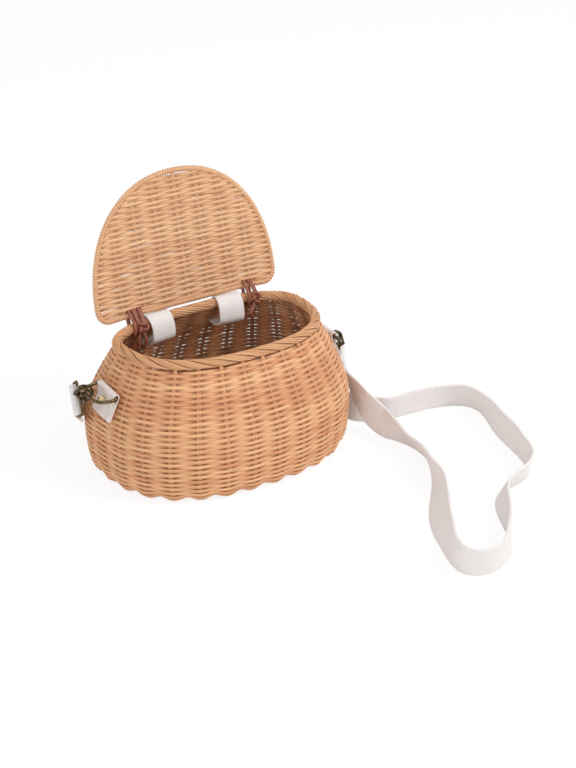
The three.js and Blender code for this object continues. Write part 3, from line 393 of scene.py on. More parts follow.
# %% [markdown]
# ## The basket's wall as a surface
# The weave is laid out on the wall with two numbers: how many stakes round, and how high. The plan is a
# rounded rectangle that swells to the belly and draws in to the rim. The stakes stand at even steps
# round the belly, so a table from stake number to angle is made there and used at every height.

# %% Places on the wall
STAKES = 27
FIRST_STAKE = 353.4


def plan(height, angle):
    """Points of the wall's outer face."""
    height, angle = np.broadcast_arrays(np.asarray(height, float), np.asarray(angle, float))
    sizes, angle = half_sizes(height.ravel()), angle.ravel()
    c, s = np.cos(angle), np.sin(angle)
    deep = np.where(s > 0, sizes[:, 2], sizes[:, 1])
    return np.c_[sizes[:, 0] * squared(c, PLAN_POWER), deep * squared(s, PLAN_POWER),
                 height.ravel()], sizes[:, 0], deep


def facing(height, angle):
    """The outward direction of the wall at those points."""
    point, wide, deep = plan(height, angle)
    x, y = point[:, 0] / wide, point[:, 1] / deep
    flat = unit(np.c_[np.sign(x) * np.abs(x) ** (PLAN_POWER - 1) / wide,
                      np.sign(y) * np.abs(y) ** (PLAN_POWER - 1) / deep])
    height = np.asarray(height, float).ravel()
    step = np.minimum(0.25, 0.4 * height + 0.01)
    lean = (plan(height + step, angle)[0] - plan(np.maximum(height - step, 0), angle)[0])[:, :2]
    lean = (lean * flat).sum(1) / (step + np.minimum(step, height))
    return unit(np.c_[flat, -lean])


ring_angles = np.linspace(0, 2 * np.pi, 14401)
ring_run = run_of(plan(np.full(14401, BELLY_HEIGHT), ring_angles)[0])
STAKE_STEP = ring_run[-1] / STAKES


def angle_of(stake):
    """The plan's angle at a stake number, which may be a fraction."""
    run = np.mod(FIRST_STAKE + np.asarray(stake, float) * STAKE_STEP, ring_run[-1])
    return np.interp(run, ring_run, ring_angles)


def wall_point(stake, height, out):
    """A place on the wall, moved outwards along the way that the wall faces."""
    angle = angle_of(stake)
    face = facing(height, angle)
    return plan(height, angle)[0] + face * np.asarray(out, float).reshape(-1, 1), face


heights = np.r_[np.linspace(0, 1, 60) ** 3 * 8, np.linspace(8.2, WALL_TOP + 2.5, 400)]
profile = np.c_[half_sizes(heights).mean(1), heights]
rise_run = np.r_[0, np.cumsum(np.linalg.norm(np.diff(profile, axis=0), axis=1))]
print("stake step", round(STAKE_STEP, 2), "mm; wall from foot to rim", round(rise_run[-1], 1), "mm")

# %% [markdown]
# ## The weavers
# One weaver passes over a pair of stakes and under the next, and winds up the basket. With an odd number
# of stakes each turn falls on the other side of the stakes by itself, as in a real basket, so the whole
# wall is one long wave wound into a spiral and cut into lengths of cane. Between the stakes the cane
# runs nearly straight and it bends close to the stakes: an arcsine of a cosine has that shape. Modelling
# every strand costs triangles, but the holes, the shadows in them and the ragged outline are then real.

# %% Weave the wall
WEAVER_RADIUS = 1.46
WEAVE_DEPTH = 2.2
WEAVE_SWING = 0.98
ROW_STEP = 2.22
WEAVER_FLATNESS = 0.7
CRISPNESS = 0.965
UNEVENNESS = 0.16
FOOT_LOBE_OUT, FOOT_LOBE_DOWN, FOOT_LOBE_ROWS = 0.9, 0.6, 9


def over_and_under(stakes):
    return np.arcsin(CRISPNESS * np.cos(np.pi * stakes)) / np.arcsin(CRISPNESS)


def weave(name, first_turn, last_turn, seed):
    """The spiral between two turns, cut into strands about two turns long."""
    draw = np.random.default_rng(seed)
    lines, faces, depths = [], [], []
    start = first_turn * STAKES
    while start < last_turn * STAKES:
        end = min(start + draw.integers(44, 70), last_turn * STAKES)
        stakes = np.linspace(start, end, int((end - start) * 8) + 1)
        row = stakes / STAKES
        wave = over_and_under(stakes)
        climb = np.clip(row * ROW_STEP + 0.9 + UNEVENNESS * wander(stakes, seed + 3, 2.0), 0, rise_run[-1])
        height = np.interp(climb, rise_run, heights)
        lobe = np.clip(1 - row / FOOT_LOBE_ROWS, 0, 1) * np.cos(2 * np.pi * stakes)
        out = -WEAVE_DEPTH + WEAVE_SWING * wave + UNEVENNESS * wander(stakes, seed + 5, 3.1)
        out = out + FOOT_LOBE_OUT * lobe
        line, face = wall_point(stakes, height, out)
        line[:, 2] = np.maximum(line[:, 2] - FOOT_LOBE_DOWN * lobe, 1.05)
        lines.append(line)
        faces.append(face)
        # painted shade: the weaver is coloured darker where it dives behind the stakes
        depths.append(np.clip(0.5 - 0.5 * wave, 0, 1))
        start = end
    return rods(name, lines, WEAVER_RADIUS, press=(WEAVER_FLATNESS, faces), deep=depths, seed=seed)


TURNS = int((rise_run[-1] - 1.2) / ROW_STEP)
wall_weavers = [weave(f"weavers_{label}", first, last, seed)
                for label, first, last, seed in (("foot", 0, 18, 11), ("belly", 18, 37, 12),
                                                 ("shoulder", 37, TURNS, 13))]
print("turns of weaver", TURNS)

# %% [markdown]
# ## The stakes and the base
# The stakes are pairs of thinner rods. They rise from the foot's edge and end under the rim. The base is
# woven the same way over pairs of spokes, in rings that close in on the middle.

# %% Stakes
STAKE_RADIUS, STAKE_ASIDE = 0.85, 0.95
stake_lines = []
for stake in range(STAKES):
    for side in (-1, 1):
        climb = np.linspace(0, rise_run[-1], 46)
        height = np.interp(climb, rise_run, heights)
        aside = side * STAKE_ASIDE / STAKE_STEP
        line = wall_point(np.full(46, stake + aside), height, np.full(46, -WEAVE_DEPTH))[0]
        line[:, 2] = np.maximum(line[:, 2], 1.7)
        line[-1, 2] = RIM_HEIGHT
        stake_lines.append(line)
wall_stakes = rods("stakes", stake_lines, STAKE_RADIUS, sides=6, seed=21)

# %% Base
def base_point(stake, share, level):
    """A place on the base: share is 0 at the foot's outline and 1 at the middle seam."""
    outline = plan(np.full(len(stake), 0.0), angle_of(stake))[0]
    wide, deep = BELLY[0] - BASE_INSET, (BELLY[1] + BELLY[2]) / 2 - BASE_INSET
    spine = np.c_[np.clip(outline[:, 0], -(wide - deep), wide - deep),
                  np.full(len(stake), (BELLY[2] - BELLY[1]) / 2), np.zeros(len(stake))]
    place = outline + (spine - outline) * np.broadcast_to(share, len(stake))[:, None]
    place[:, 2] = level
    return place


BASE_ROD, SPOKE_ROD, BASE_RINGS, FIRST_RING, RING_STEP = 0.95, 0.8, 27, 0.012, 0.036
BASE_LEVEL, BASE_SWING = 1.7, 0.75
base_lines, base_depths = [], []
for ring in range(BASE_RINGS):
    stakes = np.linspace(0, STAKES, STAKES * 6 + 1)[:-1]
    wave = over_and_under(stakes + ring)
    base_lines.append(base_point(stakes, FIRST_RING + ring * RING_STEP, BASE_LEVEL - BASE_SWING * wave))
    # painted shade: the base's weaver is coloured darker where it dips under the spokes
    base_depths.append(np.clip(0.5 + 0.5 * wave, 0, 1) * 0.8)
base_weavers = rods("base_weavers", base_lines, BASE_ROD, closed=True, sides=6, deep=base_depths, seed=31)
spoke_lines = []
for stake in range(STAKES):
    for side in (-1, 1):
        spoke_lines.append(base_point(np.full(24, stake + side * 0.05), np.linspace(0, 0.96, 24),
                                      np.full(24, BASE_LEVEL)))
base_spokes = rods("base_spokes", spoke_lines, SPOKE_ROD, sides=6, seed=32)

# %% [markdown]
# ## The rolled border
# At the rim the stakes' ends are laid down together: bundles of thin rods leave the inside of the wall,
# lean over the top and tuck in again outside, three or four stakes on. Seen from the front they
# sweep from upper left to lower right. Each rod is a short piece of a helix round the rim's middle line,
# and the rods of a bundle draw together where they tuck in, which leaves a small dark hole there.

# %% Weave the border
BORDER_ROD = 0.74
RODS_TO_A_STAKE = 6
BURIED = -0.55  # every second rod lies this much deeper
BURIED_DEPTH = 0.85  # and is coloured as if it lay this far in the shade
BORDER_CORE = 2.6
BORDER_REACH = 3.45
BORDER_SPAN, BORDER_SPREAD = 3.5, 0.7  # in stakes
FIRST_TURN, WHOLE_TURN = 255, 335  # where a rod starts round the rim and how far it goes, in degrees


def rim_point(stake, turn, reach):
    """A place round the rim's middle line; turn is 0 outwards and a quarter turn up."""
    angle = angle_of(stake)
    middle = plan(np.full(len(angle), RIM_HEIGHT), angle)[0]
    face = facing(np.full(len(angle), RIM_HEIGHT), angle)
    flat = unit(np.c_[face[:, :2], np.zeros(len(face))])
    across = flat * (reach * np.cos(turn))[:, None]
    rise = np.array([0, 0, 1.0]) * (reach * np.sin(turn))[:, None]
    return middle - flat * WALL / 2 + across + rise


border_lines, border_depths = [], []
for stake in range(STAKES):
    for rod in range(RODS_TO_A_STAKE):
        share = np.linspace(0, 1, 26)
        start = stake + rod / RODS_TO_A_STAKE
        finish = stake + BORDER_SPAN + BORDER_SPREAD * rod / RODS_TO_A_STAKE
        along = start + (finish - start) * share
        turn = np.radians(FIRST_TURN - WHOLE_TURN * share)
        tucked = 0.9 * np.exp(-((share - 1) / 0.1) ** 2)
        reach = BORDER_REACH - tucked - 0.5 * np.exp(-(share / 0.1) ** 2)
        reach = reach + 0.2 * wander(along, 40 + 7 * stake + rod, 3) + BURIED * (rod % 2)
        border_lines.append(rim_point(along, turn, reach))
        # painted shade: each rod is coloured darker at its ends where it tucks in, and every second rod all
        # along
        border_depths.append(np.clip((np.abs(share - 0.5) - 0.42) * 8, BURIED_DEPTH * (rod % 2), 1))
rim_rods = rods("border_rods", border_lines, BORDER_ROD, deep=border_depths, seed=41)
core_stakes = np.linspace(0, STAKES, STAKES * 8 + 1)[:-1]
core = rim_point(core_stakes, np.zeros(len(core_stakes)), np.zeros(len(core_stakes)))
# painted shade: the core under the rods is coloured as if it lay deep in the shade all round
rim_core = rods("border_core", [core], BORDER_CORE, closed=True, deep=[np.ones(len(core))], seed=42)

# %% [markdown]
# ## The lid
# The lid is a flat D of the same weave on a bent rod, with seven ribs. It leans back on its ties. Its
# pieces are drawn flat, across and up, and one matrix stands them up. The rows lie parallel to the hinge
# and end at the rod, which is bound all the way round with fine split cane.

# %% The lid's frame of reference
LID_HALF, LID_DEPTH, LID_CORNER, LID_POWER, LID_ROD = 82.7, 106, 9, 2.19, 2.5
HINGE = (0, 37, 116.8)
LID_LEAN = math.radians(90 - 11.7)
lid_place = np.array([[1, 0, 0], [0, math.cos(LID_LEAN), -math.sin(LID_LEAN)],
                      [0, math.sin(LID_LEAN), math.cos(LID_LEAN)]])


def stand(points):
    return points @ lid_place.T + np.array(HINGE)


def lid_half_at(y):
    y = np.asarray(y, float)
    high = np.clip((y - LID_CORNER) / (LID_DEPTH - LID_CORNER), 0, 1)
    low = np.clip(LID_CORNER - y, 0, LID_CORNER)
    corner = LID_HALF - LID_CORNER + np.sqrt(LID_CORNER ** 2 - low ** 2)
    return np.where(y > LID_CORNER, LID_HALF * shrunk(high, LID_POWER), corner)


# %% Weave the lid
RIB_STEP = 20.0
RIB_PLACES = np.arange(-3, 4) * RIB_STEP
LID_ROW_STEP = 2.2
LID_WEAVER_RADIUS, LID_WEAVER_FLATNESS, LID_SWING = 1.47, 0.64, 0.68


def lid_row(row, y):
    half = float(lid_half_at(y)) - 0.4
    ribs = [x for x in RIB_PLACES if abs(x) < half - 5]
    first = int(round((ribs[0] if ribs else 0) / RIB_STEP))
    stops = [-half, *ribs, half] if ribs else [-half, 0, half]
    counts = np.arange(len(stops)) + first - 1
    x = np.linspace(-half, half, max(14, int(half * 2 / 2.4)))
    wave = over_and_under(np.interp(x, stops, counts) + row)
    sag = 0.45 * wander(x * 0.05, 60 + row, 1.3) + 0.2 * wander(x * 0.3, 90 + row)
    line = np.c_[x, y + sag, LID_SWING * wave]
    # painted shade: the lid's weaver is coloured darker where it dips under the ribs
    return line, np.clip(0.5 - 0.5 * wave, 0, 1)


lid_lines, lid_depths = [], []
for row, y in enumerate(np.arange(2.6, LID_DEPTH - 3.0, LID_ROW_STEP)):
    line, depth = lid_row(row, y)
    lid_lines.append(stand(line))
    lid_depths.append(depth)
lid_face = lid_place @ np.array([0, 0, 1.0])
lid_faces = [np.tile(lid_face, (len(line), 1)) for line in lid_lines]
lid_weavers = rods("lid_weavers", lid_lines, LID_WEAVER_RADIUS, press=(LID_WEAVER_FLATNESS, lid_faces),
                   deep=lid_depths, seed=51)
rib_lines = []
for x in RIB_PLACES:
    top = LID_CORNER + (LID_DEPTH - LID_CORNER) * shrunk(abs(x) / LID_HALF, LID_POWER) - 2
    for side in (-1, 1):
        rib_lines.append(stand(np.c_[np.full(24, x + side * 0.9), np.linspace(1, top, 24), np.zeros(24)]))
lid_ribs = rods("lid_ribs", rib_lines, SPOKE_ROD, sides=6, seed=52)

# %% Bind the lid's rod
BAR_DROOP = 1.1
INNER_ROD, BINDING_REACH, BINDING_RADIUS, BINDING_STEP = 1.8, 1.9, 0.68, 2.3


def lid_outline(count):
    angles = np.linspace(0, np.pi, 120)
    across, rise = np.cos(angles), np.abs(np.sin(angles)) ** (2 / LID_POWER)
    arch = np.c_[LID_HALF * squared(across, LID_POWER),
                 LID_CORNER + (LID_DEPTH - LID_CORNER) * rise]
    turn = np.linspace(np.pi, 1.5 * np.pi, 12)[1:]
    left = np.c_[-LID_HALF + LID_CORNER + LID_CORNER * np.cos(turn), LID_CORNER + LID_CORNER * np.sin(turn)]
    bar = np.c_[np.linspace(-LID_HALF + LID_CORNER, LID_HALF - LID_CORNER, 60)[1:-1], np.zeros(58)]
    rest = left[::-1] * [-1, 1]
    whole = np.vstack([arch, left, bar, rest])
    sunk = np.clip((np.abs(whole[:, 0]) - 48) / 24, 0, 1) * np.clip(1 - whole[:, 1] / 16, 0, 1)
    whole[:, 1] -= BAR_DROOP * sunk ** 1.5
    closed = np.vstack([whole, whole[:1]])
    run = run_of(closed)
    steps = np.linspace(0, run[-1], count + 1)[:-1]
    flat = np.stack([np.interp(steps, run, closed[:, k]) for k in (0, 1)], axis=1)
    return np.c_[flat, np.zeros(count)], run[-1]


rod_line, rod_run = lid_outline(240)
lid_rod = rods("lid_rod", [stand(rod_line)], INNER_ROD, closed=True, sides=8, seed=53)
binding_turns = int(rod_run / BINDING_STEP)
middle, _ = lid_outline(binding_turns * 8)
way = unit(np.roll(middle, -1, axis=0) - np.roll(middle, 1, axis=0))
side_way = np.cross(way, [0, 0, 1.0])
turn = np.arange(len(middle)) / 8 * 2 * np.pi + 0.9 * wander(np.arange(len(middle)) * 0.05, 55)
around_rod = side_way * np.cos(turn)[:, None] + np.array([0, 0, 1.0]) * np.sin(turn)[:, None]
coil = middle + BINDING_REACH * around_rod
lid_binding = rods("lid_binding", [stand(coil)], BINDING_RADIUS, closed=True, sides=6, seed=54)

# %% [markdown]
# ## The laces
# Two waxed laces are the hinges. Each goes round the lid's rod and the rim together several times, not
# quite the same way twice, and ends in a knot with two short tails inside the rim. A trefoil is the
# simplest knotted line that there is, and at this size it reads as a real overhand knot.

# %% Tie the laces
LACE, LACE_TAIL, LACE_GAP = 1.25, 1.15, 2.5 * GAP
TIES = {
    "left": dict(x=-51, knot_turn=0.4,
                 wraps=((-5.8, 0.9), (-3.2, -1.0), (-0.5, 1.2), (2.3, -0.7), (5.0, 0.9)),
                 tails=(((-1.5, 1.2, -2), (-3.6, 0.2, -9), (-3.0, 1.6, -17)),
                        ((1.0, 0.6, -3), (2.6, -1.0, -9), (1.6, 0.8, -15)))),
    "right": dict(x=55.5, wraps=((-3.0, 1.4), (0.2, -1.8), (3.2, 0.8)), knot_turn=1.3,
                  tails=(((-1.6, 0.8, -3), (-4.6, 0.4, -8), (-7.6, 1.2, -12.5)),
                         ((-1.0, 0.0, -4), (-5.6, -1.4, -10.5), (-2.2, 0.4, -15)))),
}


def wall_back(x, height, inset=0.0):
    """How far back the wall lies there, on its outer face or the inset inside it."""
    sizes = half_sizes(height)[0]
    share = min(1, abs(x) / (sizes[0] - inset))
    return (sizes[2] - inset) * shrunk(share, PLAN_POWER)


def rim_middle_back(x):
    return wall_back(x, RIM_HEIGHT, WALL / 2)


def lace_turn(x, lean, seed):
    rod = (HINGE[1], HINGE[2], LID_ROD + GAP + LACE)
    rim = (rim_middle_back(x), RIM_HEIGHT, RIM_RADIUS + LACE_GAP + LACE)
    points = []
    for a in np.linspace(0, 2 * np.pi, 49)[:-1]:
        c, s = math.cos(a), math.sin(a)
        y, z, reach = max(rod, rim, key=lambda circle: circle[0] * c + circle[1] * s + circle[2])
        points.append((x + lean * math.cos(a) + 0.4 * math.sin(3 * a + seed), y + reach * c, z + reach * s))
    return np.array(points)


def trefoil(at, size, turn):
    t = np.linspace(0, 2 * np.pi, 61)[:-1]
    knot = np.c_[np.sin(t) + 2 * np.sin(2 * t), -np.sin(3 * t) * 1.1, np.cos(t) - 2 * np.cos(2 * t)] * size
    c, s = math.cos(turn), math.sin(turn)
    return knot @ np.array([[c, 0, s], [0, 1, 0], [-s, 0, c]]).T + at


laces = {}
for name, tie in TIES.items():
    x, inside = tie["x"], rim_middle_back(tie["x"]) - RIM_RADIUS - LACE_GAP - LACE
    turns = [lace_turn(x + step, lean, seed) for seed, (step, lean) in enumerate(tie["wraps"])]
    turns.append(trefoil(np.array([x + 0.3, inside - 1.2, RIM_HEIGHT + 1.8]), 1.5, tie["knot_turn"]))
    knot = np.array([x, inside - 1.4, RIM_HEIGHT])
    tails = [np.vstack([knot, knot + np.array(steps)]) for steps in tie["tails"]]
    loops = rods(f"lace_{name}_turns", turns, LACE, closed=True, seed=61)
    ends = rods(f"lace_{name}_tails", [evenly(tail, 18) for tail in tails], LACE_TAIL, seed=62)
    laces[name] = (loops, ends)

# %% [markdown]
# ## The rear loops
# A short band of the same webbing goes over the back rim, in through a slot in the wall and out again,
# so it makes a loop on both sides of the wall that a belt can pass through. It is soft, so it doesn't
# follow the rim closely but bellies in and out.

# %% Sew the rear loops
LOOP_PLACES = {"left": -32, "right": 35}
LOOP_WIDTH, WEBBING_THICKNESS, LOOP_DROP, INNER_BULGE, OUTER_BULGE = 22, 1.5, 20, 4.5, 8


def loop_route(x):
    rim_y = rim_middle_back(x)
    clear = GAP + WEBBING_THICKNESS / 2
    reach = RIM_RADIUS + clear
    inner = rim_y - reach - INNER_BULGE
    slot = RIM_HEIGHT - LOOP_DROP
    slot_in, slot_out = wall_back(x, slot, WALL), wall_back(x, slot)
    middle = (slot + RIM_HEIGHT) / 2
    outer = wall_back(x, middle) + OUTER_BULGE
    return [
        (rim_y, RIM_HEIGHT + reach), (rim_y - 0.75 * reach, RIM_HEIGHT + 0.8 * reach),
        (rim_y - 0.55 * (rim_y - inner) - 0.45 * reach, RIM_HEIGHT + 0.05 * reach),
        (inner, RIM_HEIGHT - 0.3 * LOOP_DROP), (inner + GAP, RIM_HEIGHT - 0.68 * LOOP_DROP),
        (inner + 0.35 * (slot_in - inner), slot + 0.06 * LOOP_DROP), (slot_in - WALL, slot),
        (slot_out + WALL / 2, slot), (slot_out + WALL + 0.3 * OUTER_BULGE, slot + 0.1 * LOOP_DROP),
        (outer + clear, middle),
        (wall_back(x, WALL_TOP) + clear + 0.55 * OUTER_BULGE, WALL_TOP - 0.05 * LOOP_DROP),
        (rim_y + 1.05 * reach, RIM_HEIGHT + 0.35 * reach), (rim_y + 0.62 * reach, RIM_HEIGHT + 0.86 * reach),
    ]


rear_loops = {}
for name, x in LOOP_PLACES.items():
    slope = (rim_middle_back(x + LOOP_WIDTH / 2) - rim_middle_back(x - LOOP_WIDTH / 2)) / LOOP_WIDTH
    width = unit(np.array([1.0, slope, 0]))
    deep = np.array([-width[1], width[0], 0])
    route = loop_route(x)
    route = np.array([np.array([x, rim_middle_back(x), z]) + deep * (y - rim_middle_back(x))
                      for y, z in route + route[:1]])
    piece, _ = band(f"rear_loop_{name}_webbing", route, np.tile(width, (len(route), 1)),
                    LOOP_WIDTH, WEBBING_THICKNESS, 96, closed=True)
    rear_loops[name] = piece

# %% [markdown]
# ## Turned and cast metal
# The small metal parts are smooth where the solids are faceted, so each is made again at the same size.
# A turned part is a profile spun round its axis. A bent wire is a rod along a line. The hook's claw is a
# cast plate: its outline is filled, extruded, and its edges are rounded.

# %% Spin a profile, extrude an outline
def placed(name, shape, matrix):
    """Turns a bmesh in millimetres into a piece that stands in its own frame."""
    bmesh.ops.recalc_face_normals(shape, faces=shape.faces)
    bmesh.ops.transform(shape, matrix=Matrix.Scale(MM, 4) @ matrix, verts=shape.verts)
    mesh = mesh_from(name, shape)
    mesh.shade_smooth()
    return added(name, mesh)


def turned(profile, steps=32):
    """profile is radius and height, from the axis back to the axis, or closed on itself."""
    shape = bmesh.new()
    verts = [shape.verts.new((radius, 0, height)) for radius, height in profile]
    edges = [shape.edges.new(pair) for pair in zip(verts, verts[1:])]
    bmesh.ops.spin(shape, geom=verts + edges, cent=(0, 0, 0), axis=(0, 0, 1), angle=2 * math.pi,
                   steps=steps, use_merge=True)
    bmesh.ops.remove_doubles(shape, verts=shape.verts, dist=0.001)
    return shape


def plate(outline, thickness, edge):
    """An outline in the x, z plane, made a plate with rounded edges."""
    shape = bmesh.new()
    face = shape.faces.new([shape.verts.new((x, -thickness / 2, z)) for x, z in outline])
    grown = bmesh.ops.extrude_face_region(shape, geom=[face])["geom"]
    front = [v for v in grown if isinstance(v, bmesh.types.BMVert)]
    bmesh.ops.translate(shape, vec=(0, thickness, 0), verts=front)
    sharp = [e for e in shape.edges if e.calc_face_angle(0) > math.radians(60)
             and abs(e.verts[0].co.y - e.verts[1].co.y) < 0.01]
    bmesh.ops.recalc_face_normals(shape, faces=shape.faces)
    bmesh.ops.bevel(shape, geom=sharp, offset=edge, segments=3, profile=0.5, affect="EDGES", material=-1)
    return shape


# %% Studs, rings, hooks and eyes
BALL, SHANK, STUD_DROP = 3.2, 1.3, 8
THROAT, HOOK_BAND, HOOK_THICKNESS, THROAT_LENGTH, HOOK_BASE, HOOK_TIP = 3.9, 2.6, 4.4, 6.5, 3, 1.2
HOOK_OUTER, HOOK_FAR = THROAT + HOOK_BAND, THROAT_LENGTH + HOOK_BASE
TAB_BACK = 1.5 * GAP
TAB_FRONT = TAB_BACK + 2 * TAB_THICKNESS + GAP
STUD_UP = BAR_UP - STUD_DROP
WASHER_TOP, WASHER_THICKNESS = -WALL - 2.5 * GAP, 0.8
metal = {"left": [], "right": []}


def ring_line():
    points = [bow(i / 24 * math.pi) for i in range(25)]
    corner = 2.2
    points += [Vector(p) for p in ((-RING_HALF, corner, 0), (-RING_HALF + 0.3 * corner, 0.3 * corner, 0),
                                   (-RING_HALF + corner, 0, 0), (-TAB_WIDTH / 4, 0, 0), (0, 0, 0),
                                   (TAB_WIDTH / 4, 0, 0), (RING_HALF - corner, 0, 0),
                                   (RING_HALF - 0.3 * corner, 0.3 * corner, 0), (RING_HALF, corner, 0))]
    return evenly(np.array(points + points[:1]), 121)[:-1]


def moved(points, matrix):
    turn, at = np.array(matrix.to_3x3()), np.array(matrix.translation)
    return np.asarray(points, float) @ turn.T + at


def ball_stud(name, tab):
    seat = TAB_FRONT + GAP
    centre = seat + 0.9 * BALL
    flare = WASHER_TOP - WASHER_THICKNESS - GAP
    profile = [(0, flare - 0.8), (2.0, flare - 0.8), (2.4, flare - 0.5), (2.4, flare), (SHANK, flare),
               (SHANK, seat - 0.1), (1.7, seat)]
    profile += [(BALL * math.cos(a), centre + BALL * math.sin(a))
                for a in np.linspace(-1.05, math.pi / 2, 14)]
    profile[-1] = (0, profile[-1][1])
    return placed(name, turned(profile), tab @ Matrix.Translation((0, STUD_UP, 0)))


def stud_washer(name, tab):
    top, low = WASHER_TOP, WASHER_TOP - WASHER_THICKNESS
    profile = [(SHANK + GAP, low), (4.2, low), (4.5, top - 0.6), (4.5, top - 0.2), (4.2, top),
               (SHANK + GAP, top), (SHANK + GAP, low)]
    return placed(name, turned(profile), tab @ Matrix.Translation((0, STUD_UP, 0)))


def hook_body(name, hook):
    arc = lambda radius, start, stop: [(radius * math.cos(a), -radius * math.sin(a))
                                       for a in np.linspace(start, stop, 25)]
    outline = [(HOOK_OUTER, HOOK_FAR), *arc(HOOK_OUTER, 0, math.pi), (-HOOK_OUTER, HOOK_TIP),
               (-THROAT, HOOK_TIP), *arc(THROAT, math.pi, 0), (THROAT, THROAT_LENGTH),
               (-HOOK_OUTER, THROAT_LENGTH), (-HOOK_OUTER, HOOK_FAR)]
    return placed(name, plate(outline, HOOK_THICKNESS, 0.95), hook)


def hook_gate(name, hook):
    half, low, high = HOOK_BAND / 2, HOOK_TIP + GAP, HOOK_FAR - 0.3
    x = -THROAT - half
    outline = [(x - half, low), (x + half - GAP, low), (x + half - GAP, high), (x - half, high)]
    return placed(name, plate(outline, 2.0, 0.35), hook)


def gate_pin(name, hook):
    half = HOOK_THICKNESS / 2 + 0.15
    profile = [(0, -half), (0.45, -half), (0.6, -half + 0.15), (0.6, half - 0.15), (0.45, half), (0, half)]
    turn = Matrix.Translation((-THROAT - HOOK_BAND / 2, 0, THROAT_LENGTH + HOOK_BASE / 2)) @ Matrix.Rotation(
        math.pi / 2, 4, "X")
    return placed(name, turned(profile, 16), hook @ turn)


def swivel_eye(name, eye):
    half, r = STRAP_WIDTH / 2 + GAP + EYE_WIRE / 2, 1.6
    near, far = EYE_NEAR + EYE_WIRE / 2, EYE_FAR - EYE_WIRE / 2
    corners = [((half - r, near + r), -90), ((half - r, far - r), 0), ((-half + r, far - r), 90),
               ((-half + r, near + r), 180)]
    points = [(x + r * math.cos(math.radians(a + step)), 0, z + r * math.sin(math.radians(a + step)))
              for (x, z), a in corners for step in (0, 30, 60, 90)]
    wire = rods(name, [moved(points, eye)], EYE_WIRE / 2, closed=True, sides=12, seed=72)
    top = THROAT_LENGTH - GAP
    profile = [(0, top - 1.3), (1.6, top - 1.15), (2.3, top - 0.7), (2.3, top), (1.1, top),
               (1.1, EYE_NEAR - 0.4), (2.0, EYE_NEAR + 0.2), (2.0, EYE_NEAR + EYE_WIRE * 0.7),
               (0, EYE_NEAR + EYE_WIRE)]
    post = placed(name + "_post", turned(profile, 24), eye)
    return wire, post


for name, f in FRAMES.items():
    ring = rods(f"ring_{name}_wire", [moved(ring_line(), f["ring"])], RING_WIRE, closed=True,
                sides=12, seed=71)
    stud = ball_stud(f"ball_stud_{name}_turned", f["tab"])
    disc = stud_washer(f"stud_washer_{name}_turned", f["tab"])
    body = hook_body(f"hook_body_{name}_cast", f["hook"])
    gate = hook_gate(f"hook_gate_{name}_cast", f["hook"])
    pin = gate_pin(f"gate_pin_{name}_turned", f["hook"])
    eye, post = swivel_eye(f"swivel_eye_{name}_wire", f["eye"])
    for piece, body_name, node, slot in (
            (ring, f"ring_{name}", f"d_ring_{name}", "antique_brass"),
            (stud, "bag", f"ball_stud_{name}", "brass"),
            (disc, "bag", f"stud_washer_{name}", "brass"),
            (body, f"hook_{name}", f"hook_body_{name}", "antique_brass"),
            (gate, f"gate_{name}", f"hook_gate_{name}", "antique_brass"),
            (pin, f"hook_{name}", f"gate_pin_{name}", "antique_brass"),
            (eye, "bag", f"swivel_eye_{name}", "antique_brass"),
            (post, "bag", f"swivel_eye_{name}", "antique_brass")):
        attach(piece, body_name)
        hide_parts(node)
        metal[name].append((piece, slot))

# %% [markdown]
# ## Leather tabs and the strap's sewn ends
# Each tab is one strip of leather folded over the ring's bar, with both layers held by the stud. The
# strap's end is folded over the eye's bar in the same way. Both are bands whose route is a fold: up the
# back, round the bar and down the front.

# %% Fold the tabs and the strap's ends
def fold_line(bore, thickness, back_at, length):
    """The middle of a strip folded round a bar at the origin: x through the strip, y along it."""
    reach = bore + thickness / 2
    pinch = -2.4 * (bore + thickness)
    front_at = back_at + thickness + thickness + GAP
    turn = np.linspace(math.pi, 0, 15)
    line = [(back_at + thickness / 2, -length), (back_at + thickness / 2, (pinch - length) / 2),
            (back_at + thickness / 2, pinch)]
    line += [(reach * math.cos(a), reach * math.sin(a)) for a in turn]
    line += [(front_at - thickness / 2, pinch), (front_at - thickness / 2, (pinch - length) / 2),
             (front_at - thickness / 2, -length)]
    return line


FOLDED, FOLD_OVERHANG = 1.5, 1.2  # a folded layer of webbing and how much wider it spreads
tabs, strap_ends = {}, {}
for name, f in FRAMES.items():
    line = fold_line(RING_WIRE + GAP, TAB_THICKNESS, TAB_BACK - BAR_OUT, BAR_UP + TAB_HEIGHT / 2)
    local = np.array([(0, y + BAR_UP, x + BAR_OUT) for x, y in line])
    width = np.array(f["tab"].to_3x3() @ Vector((1, 0, 0)))
    tab, _ = band(f"tab_{name}_leather", moved(local, f["tab"]), np.tile(width, (len(local), 1)),
                  TAB_WIDTH, TAB_THICKNESS, 96, rows=24)
    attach(tab, "bag")
    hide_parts(f"leather_tab_{name}")
    tabs[name] = tab
    line = fold_line(STRAP_BORE, FOLDED, -FOLDED - GAP / 2, STRAP_BORE + STRAP_END)
    local = np.array([(0, x, -y) for x, y in line])
    width = np.array(f["end"].to_3x3() @ Vector((1, 0, 0)))
    end, _ = band(f"strap_end_{name}_webbing", moved(local, f["end"]), np.tile(width, (len(local), 1)),
                  STRAP_WIDTH + FOLD_OVERHANG, FOLDED, 72)
    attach(end, "bag")
    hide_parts(f"strap_end_{name}")
    strap_ends[name] = end

